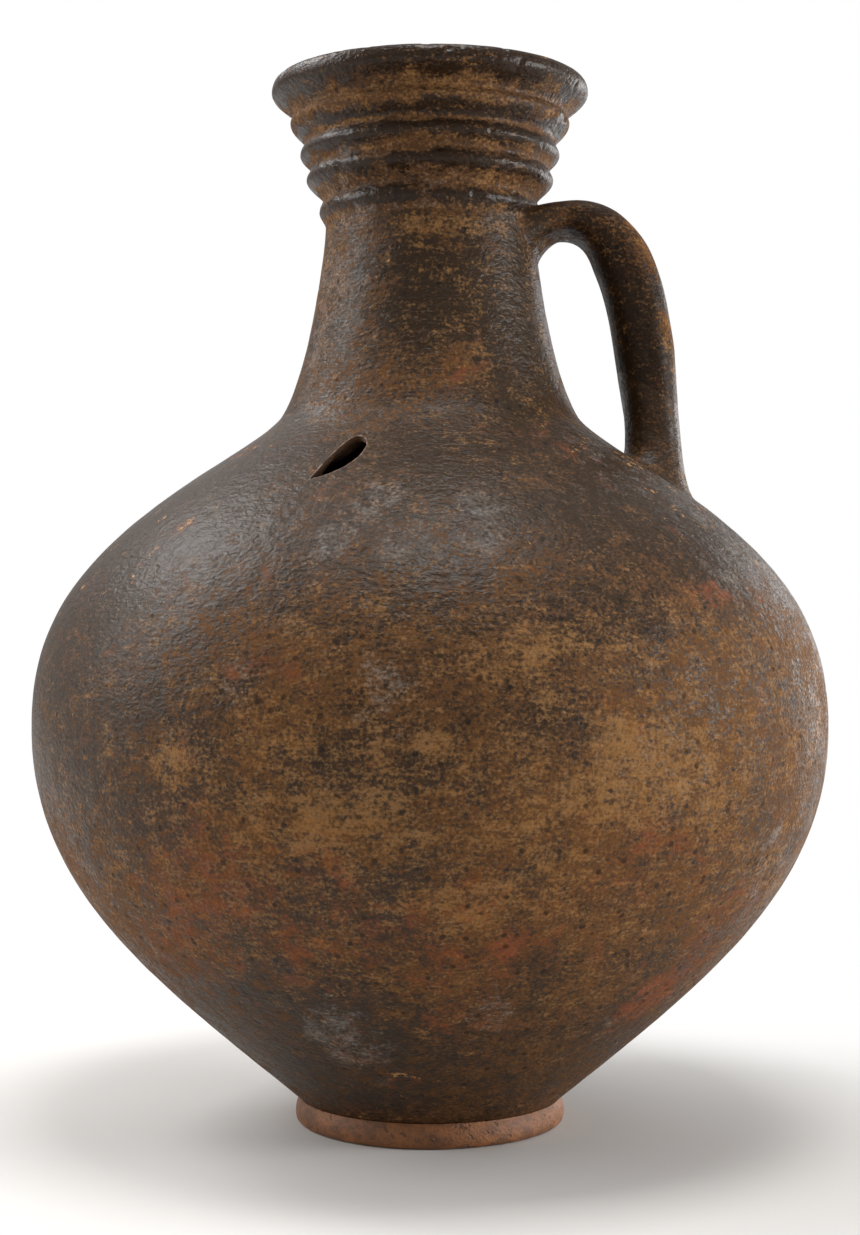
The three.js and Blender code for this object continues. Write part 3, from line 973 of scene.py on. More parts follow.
    @staticmethod
    def cover(sheet: NodeSheet, mask: WearMask, zone: Socket, spots: list[tuple]) -> Socket:
        """Gives where a colour of the coat shows.

        Args:
            sheet: Sheet that it goes on.
            mask: How the colour breaks up.
            zone: How much of it there is.
            spots: Clouds, blots and flecks, each in three parts.

        Returns:
            A share from 0 to 1.
        """
        gains = (mask.clouds, mask.blots, mask.flecks)
        layers = [sheet.spread(size[part], gain) for size, part, gain in zip(spots, mask.parts, gains)]
        return sheet.step(sheet.total(zone, *layers), mask.start, mask.full)

    @classmethod
    def dots(cls, sheet: NodeSheet, place: Socket) -> Socket:
        """Gives small round dark pits, scattered over some of the surface."""
        cells = sheet.node("ShaderNodeTexVoronoi", {"Vector": place, "Scale": 1 / cls.DOT_SPACING}).outputs
        chosen = sheet.step(sheet.split(cells["Color"])[0], *cls.DOT_SHARE)
        return sheet.math("MULTIPLY", chosen, sheet.step(cells["Distance"], *cls.DOT_EDGE))

    @classmethod
    def burnish_relief(cls) -> bpy.types.NodeTree:
        """Relief of a burnished and worn surface: strokes, lumps, fibres, scratches and pits, in millimetres.

        Returns:
            The node group.
        """
        name = "burnish_relief"
        if name in bpy.data.node_groups:
            return bpy.data.node_groups[name]
        inputs = [("Place", "Vector"), ("Depth", "Float")]
        tree, sheet, given, out = cls.group(name, inputs, [("Height", "Float")])
        place = given["Place"]
        fibres = sheet.math("ABSOLUTE", sheet.spread(sheet.noise(place, cls.FIBRES), 1.0))
        pits = sheet.step(sheet.noise(place, cls.PITS), *cls.PIT_EDGE)
        height = sheet.total(
            sheet.spread(sheet.noise(place, cls.STROKES), cls.STROKE_HEIGHT),
            sheet.spread(sheet.noise(place, cls.LUMPS), cls.LUMP_HEIGHT),
            sheet.math("MULTIPLY", fibres, cls.FIBRE_HEIGHT),
            sheet.spread(sheet.noise(place, cls.SCRATCHES), cls.SCRATCH_HEIGHT),
            sheet.math("MULTIPLY", pits, cls.PIT_HEIGHT),
        )
        sheet.feed(out.inputs["Height"], sheet.math("MULTIPLY", height, given["Depth"]))
        return tree

    @classmethod
    def clay_grain(cls) -> bpy.types.NodeTree:
        """Bare fired clay: sandy speckle and stains between two colours, with a height in millimetres.

        Returns:
            The node group.
        """
        name = "clay_grain"
        if name in bpy.data.node_groups:
            return bpy.data.node_groups[name]
        inputs = [("Place", "Vector"), ("Light", "Color"), ("Stain", "Color"), ("Soil", "Float")]
        outputs = [("Color", "Color"), ("Height", "Float")]
        tree, sheet, given, out = cls.group(name, inputs, outputs)
        place = given["Place"]
        sand = sheet.noise(place, cls.SAND)
        stain = sheet.noise(place, cls.STAIN)
        pits = sheet.step(sheet.noise(place, cls.CLAY_PITS), *cls.CLAY_PIT_EDGE)
        soil = sheet.total(
            given["Soil"],
            sheet.spread(stain, cls.STAIN_SOIL),
            sheet.spread(sand, cls.SAND_SOIL),
            sheet.math("MULTIPLY", pits, cls.CLAY_PIT_SOIL),
        )
        tone = sheet.mix(sheet.step(soil, *cls.SOIL_EDGE), given["Light"], given["Stain"])
        shade = sheet.math("MULTIPLY_ADD", sand, cls.SAND_SHADE, cls.SAND_LEAST)
        height = sheet.total(
            sheet.spread(sand, cls.SAND_HEIGHT),
            sheet.spread(stain, cls.STAIN_HEIGHT),
            sheet.math("MULTIPLY", pits, cls.CLAY_PIT_HEIGHT),
        )
        sheet.feed_all(out, {"Color": sheet.vector("SCALE", tone, shade), "Height": height})
        return tree


def new_material(name: str) -> tuple[bpy.types.Material, NodeSheet, bpy.types.Node]:
    """Starts a material.

    Args:
        name: Name of the material.

    Returns:
        The material, its sheet and its Principled shader.
    """
    material = bpy.data.materials.new(name)
    material.use_nodes = True
    sheet = NodeSheet(material.node_tree)
    return material, sheet, material.node_tree.nodes["Principled BSDF"]


@dataclass(frozen=True)
class CoatFinish:
    """The dark burnished coat, worn more or less."""

    name: str
    dark: Colour = colour(46, 31, 16)
    brown: Colour = colour(94, 62, 33)
    ochre: Colour = colour(136, 98, 57)
    rust: Colour = colour(118, 63, 34)
    # Grey of the film: lime, and also painted sheen
    film: Colour = colour(130, 126, 122)
    chip: Colour = colour(172, 124, 70)
    relief: float = 1.0
    gloss: float = 0.22
    matt: float = 0.12

    def material(self) -> bpy.types.Material:
        """Makes the finish, or finds it if it is made."""
        if self.name in bpy.data.materials:
            return bpy.data.materials[self.name]
        material, sheet, shader = new_material(self.name)
        place = sheet.millimetres()
        zones = sheet.node("ShaderNodeAttribute", attribute_name=ZONES).outputs
        given = {"Place": place, "Zones": zones["Color"], "Lime": zones["Alpha"], "Matt": self.matt}
        for label in ("Dark", "Brown", "Ochre", "Rust", "Film", "Chip"):
            given[label] = getattr(self, label.lower())
        coat = sheet.node("ShaderNodeGroup", given, node_tree=ClayEffects.coat_colours()).outputs
        depth = {"Place": place, "Depth": self.relief}
        relief = sheet.node("ShaderNodeGroup", depth, node_tree=ClayEffects.burnish_relief()).outputs
        surface = {"Base Color": coat["Color"], "Roughness": coat["Roughness"]}
        surface["Specular IOR Level"] = self.gloss
        surface["Normal"] = sheet.bump(relief["Height"])
        sheet.feed_all(shader, surface)
        return material


@dataclass(frozen=True)
class ClayFinish:
    """Clay with no coat: the foot, the inside and broken edges."""

    name: str
    light: Colour
    stain: Colour
    soil: float
    roughness: float

    def material(self) -> bpy.types.Material:
        """Makes the finish, or finds it if it is made."""
        if self.name in bpy.data.materials:
            return bpy.data.materials[self.name]
        material, sheet, shader = new_material(self.name)
        given = {"Place": sheet.millimetres(), "Light": self.light, "Stain": self.stain, "Soil": self.soil}
        grain = sheet.node("ShaderNodeGroup", given, node_tree=ClayEffects.clay_grain()).outputs
        surface = {"Base Color": grain["Color"], "Roughness": self.roughness}
        surface["Normal"] = sheet.bump(grain["Height"])
        sheet.feed_all(shader, surface)
        return material


@dataclass(frozen=True)
class Finishes:
    """All the finishes of the jug."""

    burnished: CoatFinish = CoatFinish("burnished_slip")
    worn: CoatFinish = CoatFinish("worn_slip")
    mouth: CoatFinish = CoatFinish(
        "mouth_slip", colour(38, 23, 10), colour(86, 57, 31), relief=0.9, gloss=0.22, matt=0.05,
    )
    strap: CoatFinish = CoatFinish("strap_slip", colour(36, 22, 9), gloss=0.15, matt=0.2)
    bare: ClayFinish = ClayFinish("foot_clay", colour(136, 85, 45), colour(94, 58, 31), 0.5, 0.58)
    inside: ClayFinish = ClayFinish("thrown_clay", colour(112, 80, 56), colour(70, 48, 34), 0.4, 0.85)
    # Broken clay, darkened as painted shade on the cut faces inside the break
    broken: ClayFinish = ClayFinish("broken_clay", colour(92, 63, 37), colour(46, 33, 23), 0.45, 0.85)


@dataclass
class Potter:
    """What every piece of the jug shares: the wall, the wear, the finishes and how uneven the clay is."""

    wall: JugWall = field(default_factory=JugWall)
    wear: WearMap = field(default_factory=WearMap)
    finishes: Finishes = field(default_factory=Finishes)
    turn_steps: int = 512
    skin_step: float = 1.7 * MM
    inside_step: float = 6 * MM
    seam_step: float = 0.15 * MM
    dents: tuple[Dents, ...] = (
        Dents(0.30 * MM, 60 * MM),
        Dents(0.16 * MM, 11 * MM, 2, 5.0),
        Dents(0.10 * MM, 5 * MM, 1, 9.0),
    )

    def unevenness(self, points: np.ndarray) -> np.ndarray:
        """Gives how far the worn skin lies inside the true shape.

        Args:
            points: Places in metres, one row each.

        Returns:
            A depth in metres at each place.
        """
        depth = np.zeros(len(points))
        for dents in self.dents:
            depth += dents.depth * (0.5 + 0.5 * dents.heights(points))
        return np.clip(depth, 0.0, None)

    def weather(self, piece: bpy.types.Object) -> None:
        """Makes a thrown piece's outside uneven along its normals."""
        points = Workbench.points(piece)
        skin = Workbench.values(piece, SKIN) > ON_SKIN
        around = np.arctan2(points[skin, 1], points[skin, 0])
        across = Workbench.values(piece, OUT_ACROSS)[skin]
        up = Workbench.values(piece, OUT_UP)[skin]
        normals = np.column_stack([across * np.cos(around), across * np.sin(around), up])
        points[skin] -= normals * self.unevenness(points[skin])[:, None]
        Workbench.move(piece, points)

    def paint(self, piece: bpy.types.Object, zones: np.ndarray) -> None:
        """Writes the wear zones, with their painted sheen and shade, on a piece."""
        layer = piece.data.attributes.new(ZONES, "FLOAT_COLOR", "POINT")
        layer.data.foreach_set("color", np.asarray(zones, dtype=np.float32).ravel())

    def dress(self, piece: bpy.types.Object, node: str, slot: Slot, finishes: Sequence[object]) -> None:
        """Gives a piece its materials and its place in the frame.

        Args:
            piece: The finished mesh.
            node: CAD node that it stands for.
            slot: Slot of the record; not used.
            finishes: Finishes of its material slots, in order.
        """
        for finish in finishes:
            piece.data.materials.append(finish.material())
        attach(piece, BODY)
        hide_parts(node)
        LOG.info("%s: %d faces", piece.name, len(piece.data.polygons))

    def inside_faces(self, piece: bpy.types.Object) -> None:
        """Gives the faces off the outer skin the second material."""
        index = (Workbench.face_values(piece, SKIN) < ON_SKIN).astype(np.int32)
        piece.data.polygons.foreach_set("material_index", index)


@dataclass
class FootRing:
    """The thrown foot: a bulging ring with a recess beneath the floor."""

    potter: Potter
    bulge: float = 1.5 * MM
    bulge_height: float = 3.6 * MM
    edge: float = 2 * MM
    width: float = 12 * MM
    step: float = 0.8 * MM
    bend_steps: int = 24

    def build(self) -> bpy.types.Object:
        """Builds the ring.

        Returns:
            The finished piece.
        """
        wall = self.potter.wall
        widest = wall.base_radius + self.bulge
        bore = widest - self.width
        under = self.bend((widest - self.edge, 0), (widest, 0), (widest, self.bulge_height))
        turn_in = (widest, (self.bulge_height + wall.foot_top) / 2)
        over = self.bend((widest, self.bulge_height), turn_in, (wall.base_radius, wall.foot_top))
        outside = spaced(np.vstack([under, over[1:]]), self.step)
        chamfer = self.edge / 2
        inside = np.array([(bore, wall.foot_top), (bore, chamfer), (bore + chamfer, 0)])
        piece = Workbench.thrown("foot", Profile.joined(outside, inside), self.potter.turn_steps)
        self.potter.weather(piece)
        self.rest(piece)
        Workbench.smooth(piece)
        self.potter.dress(piece, "foot_ring", Slot.BARE, [self.potter.finishes.bare])
        return piece

    def bend(self, start: Point, corner: Point, end: Point) -> np.ndarray:
        """Samples a curve that rounds off a corner."""
        at = np.linspace(0, 1, self.bend_steps)[:, None]
        return (1 - at) ** 2 * np.array(start) + 2 * at * (1 - at) * np.array(corner) + at**2 * np.array(end)

    @staticmethod
    def rest(piece: bpy.types.Object) -> None:
        """Keeps the ring standing on the floor."""
        points = Workbench.points(piece)
        points[:, 2] = np.maximum(points[:, 2], 0)
        Workbench.move(piece, points)


@dataclass
class ThrownBody:
    """The lower bowl, the shoulder dome and the neck, which share one smooth wall."""

    potter: Potter
    floor: float = 9 * MM

    def section(self, name: str, node: str, seams: Point, slot: Slot, finish: CoatFinish) -> bpy.types.Object:
        """Builds one section of wall between two seams.

        Args:
            name: Its name.
            node: Its CAD node.
            seams: Heights of the seam beneath it, or the top of the foot, and of the seam above it.
            slot: Its slot in the record.
            finish: Finish of its outside.

        Returns:
            The finished piece.
        """
        potter = self.potter
        wall = potter.wall
        low, high = seams
        rise = wall.seam_rise
        outside = stretch(wall.outer, low, high, potter.skin_step, potter.seam_step)
        if low > wall.foot_top:
            inside = stretch(wall.inner, low + rise, high + rise, potter.inside_step)[::-1]
            profile = Profile.joined(outside, inside)
        else:
            floor_top = low + self.floor
            inside = stretch(wall.inner, floor_top, high + rise, potter.inside_step)[::-1]
            profile = Profile.joined(outside, np.vstack([inside, (0, floor_top)]))
            profile = Profile(np.vstack([(0, low), profile.line]), np.concatenate([[0], profile.skin]))
        piece = Workbench.thrown(name, profile, potter.turn_steps)
        potter.weather(piece)
        potter.paint(piece, potter.wear.paint(Workbench.points(piece)))
        potter.inside_faces(piece)
        Workbench.smooth(piece)
        finishes = [finish, potter.finishes.inside, potter.finishes.broken]
        potter.dress(piece, node, slot, finishes)
        return piece

    def build(self) -> list[bpy.types.Object]:
        """Builds the three sections.

        Returns:
            The bowl, the dome and the neck.
        """
        wall = self.potter.wall
        finishes = self.potter.finishes
        belly, root, seat = wall.belly_seam, wall.neck_seam, wall.collar_seam
        bowl = self.section("bowl", "lower_body", (wall.foot_top, belly), Slot.WORN, finishes.worn)
        dome = self.section("shoulder", "upper_body", (belly, root), Slot.BURNISHED, finishes.burnished)
        throat = self.section("throat", "neck", (root, seat), Slot.WORN, finishes.worn)
        return [bowl, dome, throat]


@dataclass(frozen=True)
class BreakLevel:
    """One level of the break, in millimetres: how far outside the wall it is and how much wider it is there.

    Chipped is the share of the chips along its edge that it has.
    """

    rise: float
    grow: float = 0.0
    chipped: float = 0.0


@dataclass
class Break:
    """The leaf-shaped break in the shoulder: a ragged hole through the wall."""

    potter: Potter
    turn: float = -113.3
    height: float = 249.9 * MM
    tilt: float = 78.0
    length: float = 30.4 * MM
    belly: float = 9.2 * MM
    back: float = 1.7 * MM
    full_side: tuple[Point, Point] = ((-0.5, 1.6), (1.1, 1.0))
    straight_side: tuple[Point, Point] = ((0.9, 2.3), (-0.33, 0.35))
    levels: tuple[BreakLevel, ...] = (
        BreakLevel(3, 0.2, 1),
        BreakLevel(0.6, 0.2, 1),
        BreakLevel(-0.3, 0.1, 0.7),
        BreakLevel(-1.1, 0, 0.15),
        BreakLevel(-2.4),
        BreakLevel(-4, 2.5),
        BreakLevel(-6.5, 5),
        BreakLevel(-14, 6),
    )
    ragged: Dents = Dents(0.35 * MM, 3.2 * MM, 2, 3.0)
    chip: Dents = Dents(0.7 * MM, 4 * MM, 2, 8.0)
    chip_share: float = 0.15
    sides: int = 96

    def outline(self) -> np.ndarray:
        """Gives the outline in the plane that touches the wall there.

        Returns:
            Rows of level and uphill distance from its middle.
        """
        half = self.length / 2
        tips = [np.array([-half, 0.0]), np.array([half, 0.0])]
        at = np.linspace(0, 1, self.sides // 2, endpoint=False)[:, None]
        rows = []
        for (start, end), controls, bow in (
            (tips, self.full_side, -self.belly),
            (tips[::-1], self.straight_side, self.back),
        ):
            leave, arrive = (np.array([along * half, out * bow]) for along, out in controls)
            rows.append(cubic(start, leave, arrive, end, at))
        flat = np.vstack(rows)
        lean = math.radians(self.tilt)
        turned = [flat[:, 0] * math.cos(lean) - flat[:, 1] * math.sin(lean)]
        turned.append(flat[:, 0] * math.sin(lean) + flat[:, 1] * math.cos(lean))
        return np.column_stack(turned)

    def cutter(self) -> bpy.types.Object:
        """Builds the ragged plug that is taken out of the wall."""
        wall = self.potter.wall
        around = math.radians(self.turn)
        radial = np.array([math.cos(around), math.sin(around), 0])
        level = np.array([-math.sin(around), math.cos(around), 0])
        near = stretch(wall.outer, self.height - MM, self.height + MM, MM / 4)
        along = near[-1] - near[0]
        along /= np.linalg.norm(along)
        uphill = along[0] * radial + np.array([0, 0, along[1]])
        outward = np.cross(level, uphill)
        outward *= np.sign(outward @ radial)
        centre = radial * float(wall.radius_at(self.height)) + np.array([0, 0, self.height])
        plane = np.array([level, uphill])
        flat = self.outline()
        out = flat / np.linalg.norm(flat, axis=1)[:, None]
        rings = []
        for step in self.levels:
            base = centre + flat @ plane + outward * step.rise * MM
            ragged = self.ragged.depth * self.ragged.heights(base)
            nick = self.chip.depth * step.chipped * np.clip(self.chip.heights(base) + self.chip_share, 0, 1)
            reach = ragged + nick + step.grow * MM
            ring = base + (out * reach[:, None]) @ plane
            rings.append(np.vstack([ring, ring[:1]]))
        plug = Workbench.woven("break_cutter", np.array(rings), True)
        finishes = self.potter.finishes
        slots = (finishes.burnished, finishes.inside, finishes.broken)
        for finish in slots:
            plug.data.materials.append(finish.material())
        index = np.full(len(plug.data.polygons), slots.index(finishes.broken), dtype=np.int32)
        plug.data.polygons.foreach_set("material_index", index)
        return plug

    def cut(self, dome: bpy.types.Object) -> None:
        """Takes the break out of the shoulder."""
        plug = self.cutter()
        Workbench.pick(dome)
        boolean = dome.modifiers.new("break", "BOOLEAN")
        boolean.operation = "DIFFERENCE"
        boolean.object = plug
        boolean.solver = "EXACT"
        boolean.material_mode = "INDEX"
        bpy.ops.object.modifier_apply(modifier=boolean.name)
        bpy.data.objects.remove(plug)
        Workbench.smooth(dome)
        LOG.info("break cut: %d faces", len(dome.data.polygons))


@dataclass
class SeamCoil:
    """A rolled coil pressed over a seam on the inside with the thumb."""

    potter: Potter
    height: float = 26 * MM
    thick: float = 4.5 * MM
    gap: float = 0.3 * MM
    step: float = 2 * MM
    press: float = 17 * MM
    dent: float = 0.8 * MM
    wander: float = 1.5
    wander_size: float = 40 * MM

    def build(self, name: str, node: str, seam: float) -> bpy.types.Object:
        """Builds a coil.

        Args:
            name: Its name.
            node: Its CAD node.
            seam: Height of the seam.

        Returns:
            The finished piece.
        """
        low = seam + self.potter.wall.seam_rise / 2 - self.height / 2
        back = stretch(offset_line(self.potter.wall.inner, -self.gap), low, low + self.height, self.step)
        share = (back[:, 1] - low) / self.height
        along = headings(back)
        bulge = self.thick * np.sin(np.pi * share)[:, None]
        front = back + bulge * np.column_stack([-along[:, 1], along[:, 0]])
        profile = Profile.joined(back, front[1:-1][::-1])
        piece = Workbench.thrown(name, profile, self.potter.turn_steps // 2)
        points = Workbench.points(piece)
        front_side = Workbench.values(piece, SKIN) < ON_SKIN
        around = np.arctan2(points[:, 1], points[:, 0])
        radius = np.hypot(points[:, 0], points[:, 1])
        presses = round(2 * math.pi * radius.mean() / self.press)
        phase = presses * around + self.wander * swell(points, self.wander_size, 1)
        dent = self.dent * (0.5 + 0.5 * np.cos(phase))
        grown = np.where(front_side, (radius + dent) / radius, 1.0)
        points[:, :2] *= np.minimum(grown, self.room(points, radius))[:, None]
        Workbench.move(piece, points)
        Workbench.smooth(piece)
        self.potter.dress(piece, node, Slot.INSIDE, [self.potter.finishes.inside])
        return piece

    def room(self, points: np.ndarray, radius: np.ndarray) -> np.ndarray:
        """Gives how far each point may move out before it meets the wall."""
        inner = self.potter.wall.inner
        return np.maximum((np.interp(points[:, 2], inner[:, 1], inner[:, 0]) - self.gap) / radius, 1.0)


@dataclass
class RibbedCollar:
    """The thrown mouth: four ribs with grooves between them, a rounded lip and a funnel inside.

    Turns are heights over the seam and stands off the neck where the line turns, and bare bands are the
    middles and half heights of what is worn, all in millimetres. Coat and bare say what is added to the
    four kinds of wear everywhere and where the coat is gone; the film that bare adds is painted sheen.
    """

    potter: Potter
    turns: tuple[Point, ...] = (
        (0, 0),
        (5.8, 2.5),
        (10.1, 1.1),
        (18, 7.4),
        (22.2, 5.8),
        (27.7, 9.8),
        (32.1, 8.1),
        (39.7, 13.6),
        (42.6, 12.4),
        (51.3, 20.7),
    )
    bare_bands: tuple[Point, ...] = ((0, 2.5), (10.8, 3.2), (22.8, 2.8), (32, 1.5), (41.4, 4.6))
    bare_edge: Point = (1.5, 0.55)
    bare_ragged: Dents = Dents(1.0, 12 * MM, 4, 44.0)
    coat: Amounts = (0.3, -0.1, -0.2, 0.0)
    # Its film part is painted sheen along the worn grooves
    bare: Amounts = (-0.44, 0.2, 0.0, 0.2)
    fullness: float = 0.3
    seam_hollow: float = 0.6
    lip_width: float = 6 * MM
    lip_rise: float = 4.7 * MM
    lip_steps: int = 24
    rib_steps: int = 11
    inside_step: float = 3 * MM
    nick: Dents = Dents(0.7 * MM, 7 * MM, 2, 12.0)
    nick_limits: Point = (0.35, 0.7)
    crest_limits: Point = (0.45, 0.0)
    wave: Dents = Dents(0.35 * MM, 0.8, 2, 2.0)
    wave_height: float = 60 * MM
    seam_ease: float = 8 * MM
    lip_ease: Point = (4 * MM, -6 * MM)
    smooth_angle: float = 60.0

    def rib_swell(self, share: np.ndarray) -> np.ndarray:
        """Gives how far a rib has swollen on the way from its groove to its crest."""
        wave = (1 - np.cos(np.pi * share)) / 2
        return (1 - self.fullness) * wave + self.fullness * np.sin(np.pi / 2 * share)

    def outside(self) -> tuple[np.ndarray, np.ndarray]:
        """Gives the ribs, the lip and how deep each point lies in a groove."""
        wall = self.potter.wall
        share = np.linspace(0, 1, self.rib_steps + 1)[1:]
        rows = [np.array([[wall.neck_radius, wall.collar_seam]])]
        hollow = [np.array([self.seam_hollow])]
        for (low, inner), (high, outer) in zip(self.turns[:-1], self.turns[1:]):
            rising = outer > inner
            grown = self.rib_swell(share) if rising else 1 - self.rib_swell(1 - share)
            radius = wall.neck_radius + (inner + (outer - inner) * grown) * MM
            height = wall.collar_seam + (low + (high - low) * share) * MM
            rows.append(np.column_stack([radius, height]))
            hollow.append(1 - self.rib_swell(share) if rising else self.rib_swell(share))
        crest_radius, crest_height = rows[-1][-1]
        at = np.linspace(0, math.pi, self.lip_steps + 1)[1:-1]
        centre = crest_radius - self.lip_width / 2
        lip = [centre + self.lip_width / 2 * np.cos(at), crest_height + self.lip_rise * np.sin(at)]
        rows.append(np.column_stack(lip))
        hollow.append(np.zeros(len(at)))
        return np.vstack(rows), np.concatenate(hollow)

    def build(self) -> bpy.types.Object:
        """Builds the collar.

        Returns:
            The finished piece.
        """
        potter = self.potter
        wall = potter.wall
        outside, hollow = self.outside()
        low = wall.collar_seam + wall.seam_rise
        inside = stretch(wall.inner, low, wall.lip_height, self.inside_step)[::-1]
        piece = Workbench.thrown("mouth", Profile.joined(outside, inside, hollow), potter.turn_steps)
        potter.weather(piece)
        self.wear_crests(piece)
        points = Workbench.points(piece)
        bare = self.bareness(points)[:, None] * np.array(self.bare)
        potter.paint(piece, potter.wear.paint(points) + np.array(self.coat) + bare)
        potter.inside_faces(piece)
        Workbench.smooth(piece, self.smooth_angle)
        potter.dress(piece, "ribbed_collar", Slot.BURNISHED, [potter.finishes.mouth, potter.finishes.inside])
        return piece

    def bareness(self, points: np.ndarray) -> np.ndarray:
        """Gives how far the coat is worn off, 1 in the bands along the grooves."""
        rise = (points[:, 2] - self.potter.wall.collar_seam) / MM
        ragged = self.bare_ragged.heights(points)
        reaches = [np.abs(rise - middle) / half + ragged for middle, half in self.bare_bands]
        return np.max([soft_step(reach, *self.bare_edge) for reach in reaches], axis=0)

    def wear_crests(self, piece: bpy.types.Object) -> None:
        """Nicks the crests and lets the ribs wave a little round the collar."""
        wall = self.potter.wall
        points = Workbench.points(piece)
        skin = Workbench.values(piece, SKIN)
        crest = skin * soft_step(Workbench.values(piece, HOLLOW), *self.crest_limits)
        chip = soft_step(self.nick.heights(points), *self.nick_limits)
        radius = np.hypot(points[:, 0], points[:, 1])
        points[:, :2] *= (1 - self.nick.depth * crest * chip / radius)[:, None]
        height = points[:, 2]
        over_seam = soft_step(height, wall.collar_seam, wall.collar_seam + self.seam_ease)
        under_lip = soft_step(height, wall.lip_height + self.lip_ease[0], wall.lip_height + self.lip_ease[1])
        around = np.column_stack([points[:, 0] / radius, points[:, 1] / radius, height / self.wave_height])
        free = np.minimum(over_seam, under_lip)
        points[:, 2] += self.wave.depth * skin * free * self.wave.heights(around)
        Workbench.move(piece, points)


@dataclass(frozen=True)
class Luting:
    """Sizes of the clay worked round one root of the handle."""

    reach: float
    outer: float
    inner: float
    edge: float
    fillet: float


@dataclass
class StrapHandle:
    """The pulled strap from the neck to the shoulder, and the clay that lutes its two roots.

    Sections are the share of the way from the neck, the thickness and the width, the last two in millimetres.
    Coat, worn and landing say what is added to the four kinds of wear everywhere, on the worn outer face
    and where the strap lands on the shoulder.
    """

    potter: Potter
    top_angle: float = 22.0
    top_reach: float = 44 * MM
    landing_drop: float = 22.3 * MM
    landing_angle: float = -84.0
    landing_reach: float = 56 * MM
    roundness: float = 2.5
    sections: tuple[tuple[float, float, float], ...] = (
        (0, 14, 38),
        (0.1, 14, 37),
        (0.42, 22.8, 33),
        (0.7, 23.2, 33),
        (0.88, 20.8, 34),
        (1, 20.2, 36),
    )
    past_ends: float = 0.15
    table_steps: int = 131
    easings: int = 12
    upper: Luting = Luting(11 * MM, 0.4 * MM, 6.5 * MM, 2.5 * MM, 1.5)
    lower: Luting = Luting(16 * MM, 2.0 * MM, 2.2 * MM, 9 * MM, 2.0)
    far_rows: Point = (1.6, 0.2)
    near_rows: Point = (0.17, -0.35)
    luting_rows: int = 30
    settlings: int = 8
    film: float = 0.03 * MM
    bite: float = 0.6 * MM
    sunk: float = 2.5 * MM
    root_search: Point = (-0.14, 0.3)
    root_steps: int = 177
    rings: int = 120
    sides: int = 72
    line_steps: int = 200
    face_steps: int = 160
    pulled: Dents = Dents(0.25 * MM, 26 * MM, 2, 21.0)
    worn_face: Point = (0.2, 0.8)
    worn_spots: Dents = Dents(1.0, 20 * MM, 2, 33.0)
    worn_limits: Point = (-0.25, 0.35)
    root_limits: Point = (26 * MM, 4 * MM)
    landing_limits: Point = (275 * MM, 255 * MM)
    dark: float = 0.22
    dark_spots: Dents = Dents(0.36, 22 * MM, 2, 61.0)
    coat: Amounts = (0.0, -0.03, 0.0, -0.25)
    worn: Amounts = (-0.22, 0.22, 0.0, 0.0)
    landing: Amounts = (-0.2, 0.3, 0.0, 0.0)
    smooth_angle: float = 60.0

    def centre(self, at: np.ndarray) -> tuple[np.ndarray, np.ndarray]:
        """Gives the strap's centre line.

        Args:
            at: Shares of the way from the neck to the shoulder, which may run a little past both.

        Returns:
            Places and directions, each with one more axis than the shares.
        """
        wall = self.potter.wall
        landing = wall.neck_seam - self.landing_drop
        start = np.array([wall.neck_radius, 0, wall.collar_seam])
        end = np.array([float(wall.radius_at(landing)), 0, landing])
        rise, fall = math.radians(self.top_angle), math.radians(self.landing_angle)
        leave = start + self.top_reach * np.array([math.cos(rise), 0, math.sin(rise)])
        arrive = end - self.landing_reach * np.array([math.cos(fall), 0, math.sin(fall)])
        within = np.clip(at, 0, 1)[..., None]
        back = 1 - within
        middle = 2 * within * back * (arrive - leave)
        speed = 3 * (back**2 * (leave - start) + middle + within**2 * (end - arrive))
        place = cubic(start, leave, arrive, end, within) + speed * (at[..., None] - within)
        return place, speed / np.linalg.norm(speed, axis=-1)[..., None]

    def size_at(self, at: np.ndarray, column: int) -> np.ndarray:
        """Gives half the strap's thickness (column 1) or width (column 2), eased between sections."""
        shares = np.array(self.sections)
        table = np.linspace(-self.past_ends, 1 + self.past_ends, self.table_steps)
        sizes = np.interp(table, shares[:, 0], shares[:, column]) * MM / 2
        for _ in range(self.easings):
            sizes[1:-1] = (sizes[:-2] + 2 * sizes[1:-1] + sizes[2:]) / 4
        return np.interp(at, table, sizes)

    def surface(self, at: np.ndarray, grow: Union[float, np.ndarray] = 0.0) -> tuple[np.ndarray, np.ndarray]:
        """Gives rings of places on the strap.

        Args:
            at: Shares of the way along, by ring and side.
            grow: How far out of the strap each place lies.

        Returns:
            Places by ring and side, the last side the same as the first, and the directions out of the strap.
        """
        place, along = self.centre(at)
        turn = np.linspace(0, 2 * math.pi, self.sides + 1)
        power = 2 / self.roundness
        across = np.sign(np.cos(turn)) * np.abs(np.cos(turn)) ** power * self.size_at(at, 1)
        aside = np.sign(np.sin(turn)) * np.abs(np.sin(turn)) ** power * self.size_at(at, 2)
        outwards = np.stack([-along[..., 2], np.zeros(at.shape), along[..., 0]], axis=-1)
        sideways = np.array([0, 1.0, 0])
        out = np.cos(turn)[:, None] * outwards + np.sin(turn)[:, None] * sideways
        rings = place + across[..., None] * outwards + aside[..., None] * sideways
        rings = rings + out * np.broadcast_to(grow, at.shape)[..., None]
        rings[:, -1] = rings[:, 0]
        return rings, out

    def clearance(self, places: np.ndarray) -> np.ndarray:
        """Gives how far places lie outside the jug's wall."""
        wall = self.potter.wall
        slope = np.gradient(wall.outer[:, 0], wall.outer[:, 1])
        lean = np.interp(places[..., 2], wall.outer[:, 1], slope)
        return (np.hypot(places[..., 0], places[..., 1]) - wall.radius_at(places[..., 2])) / np.hypot(lean, 1)

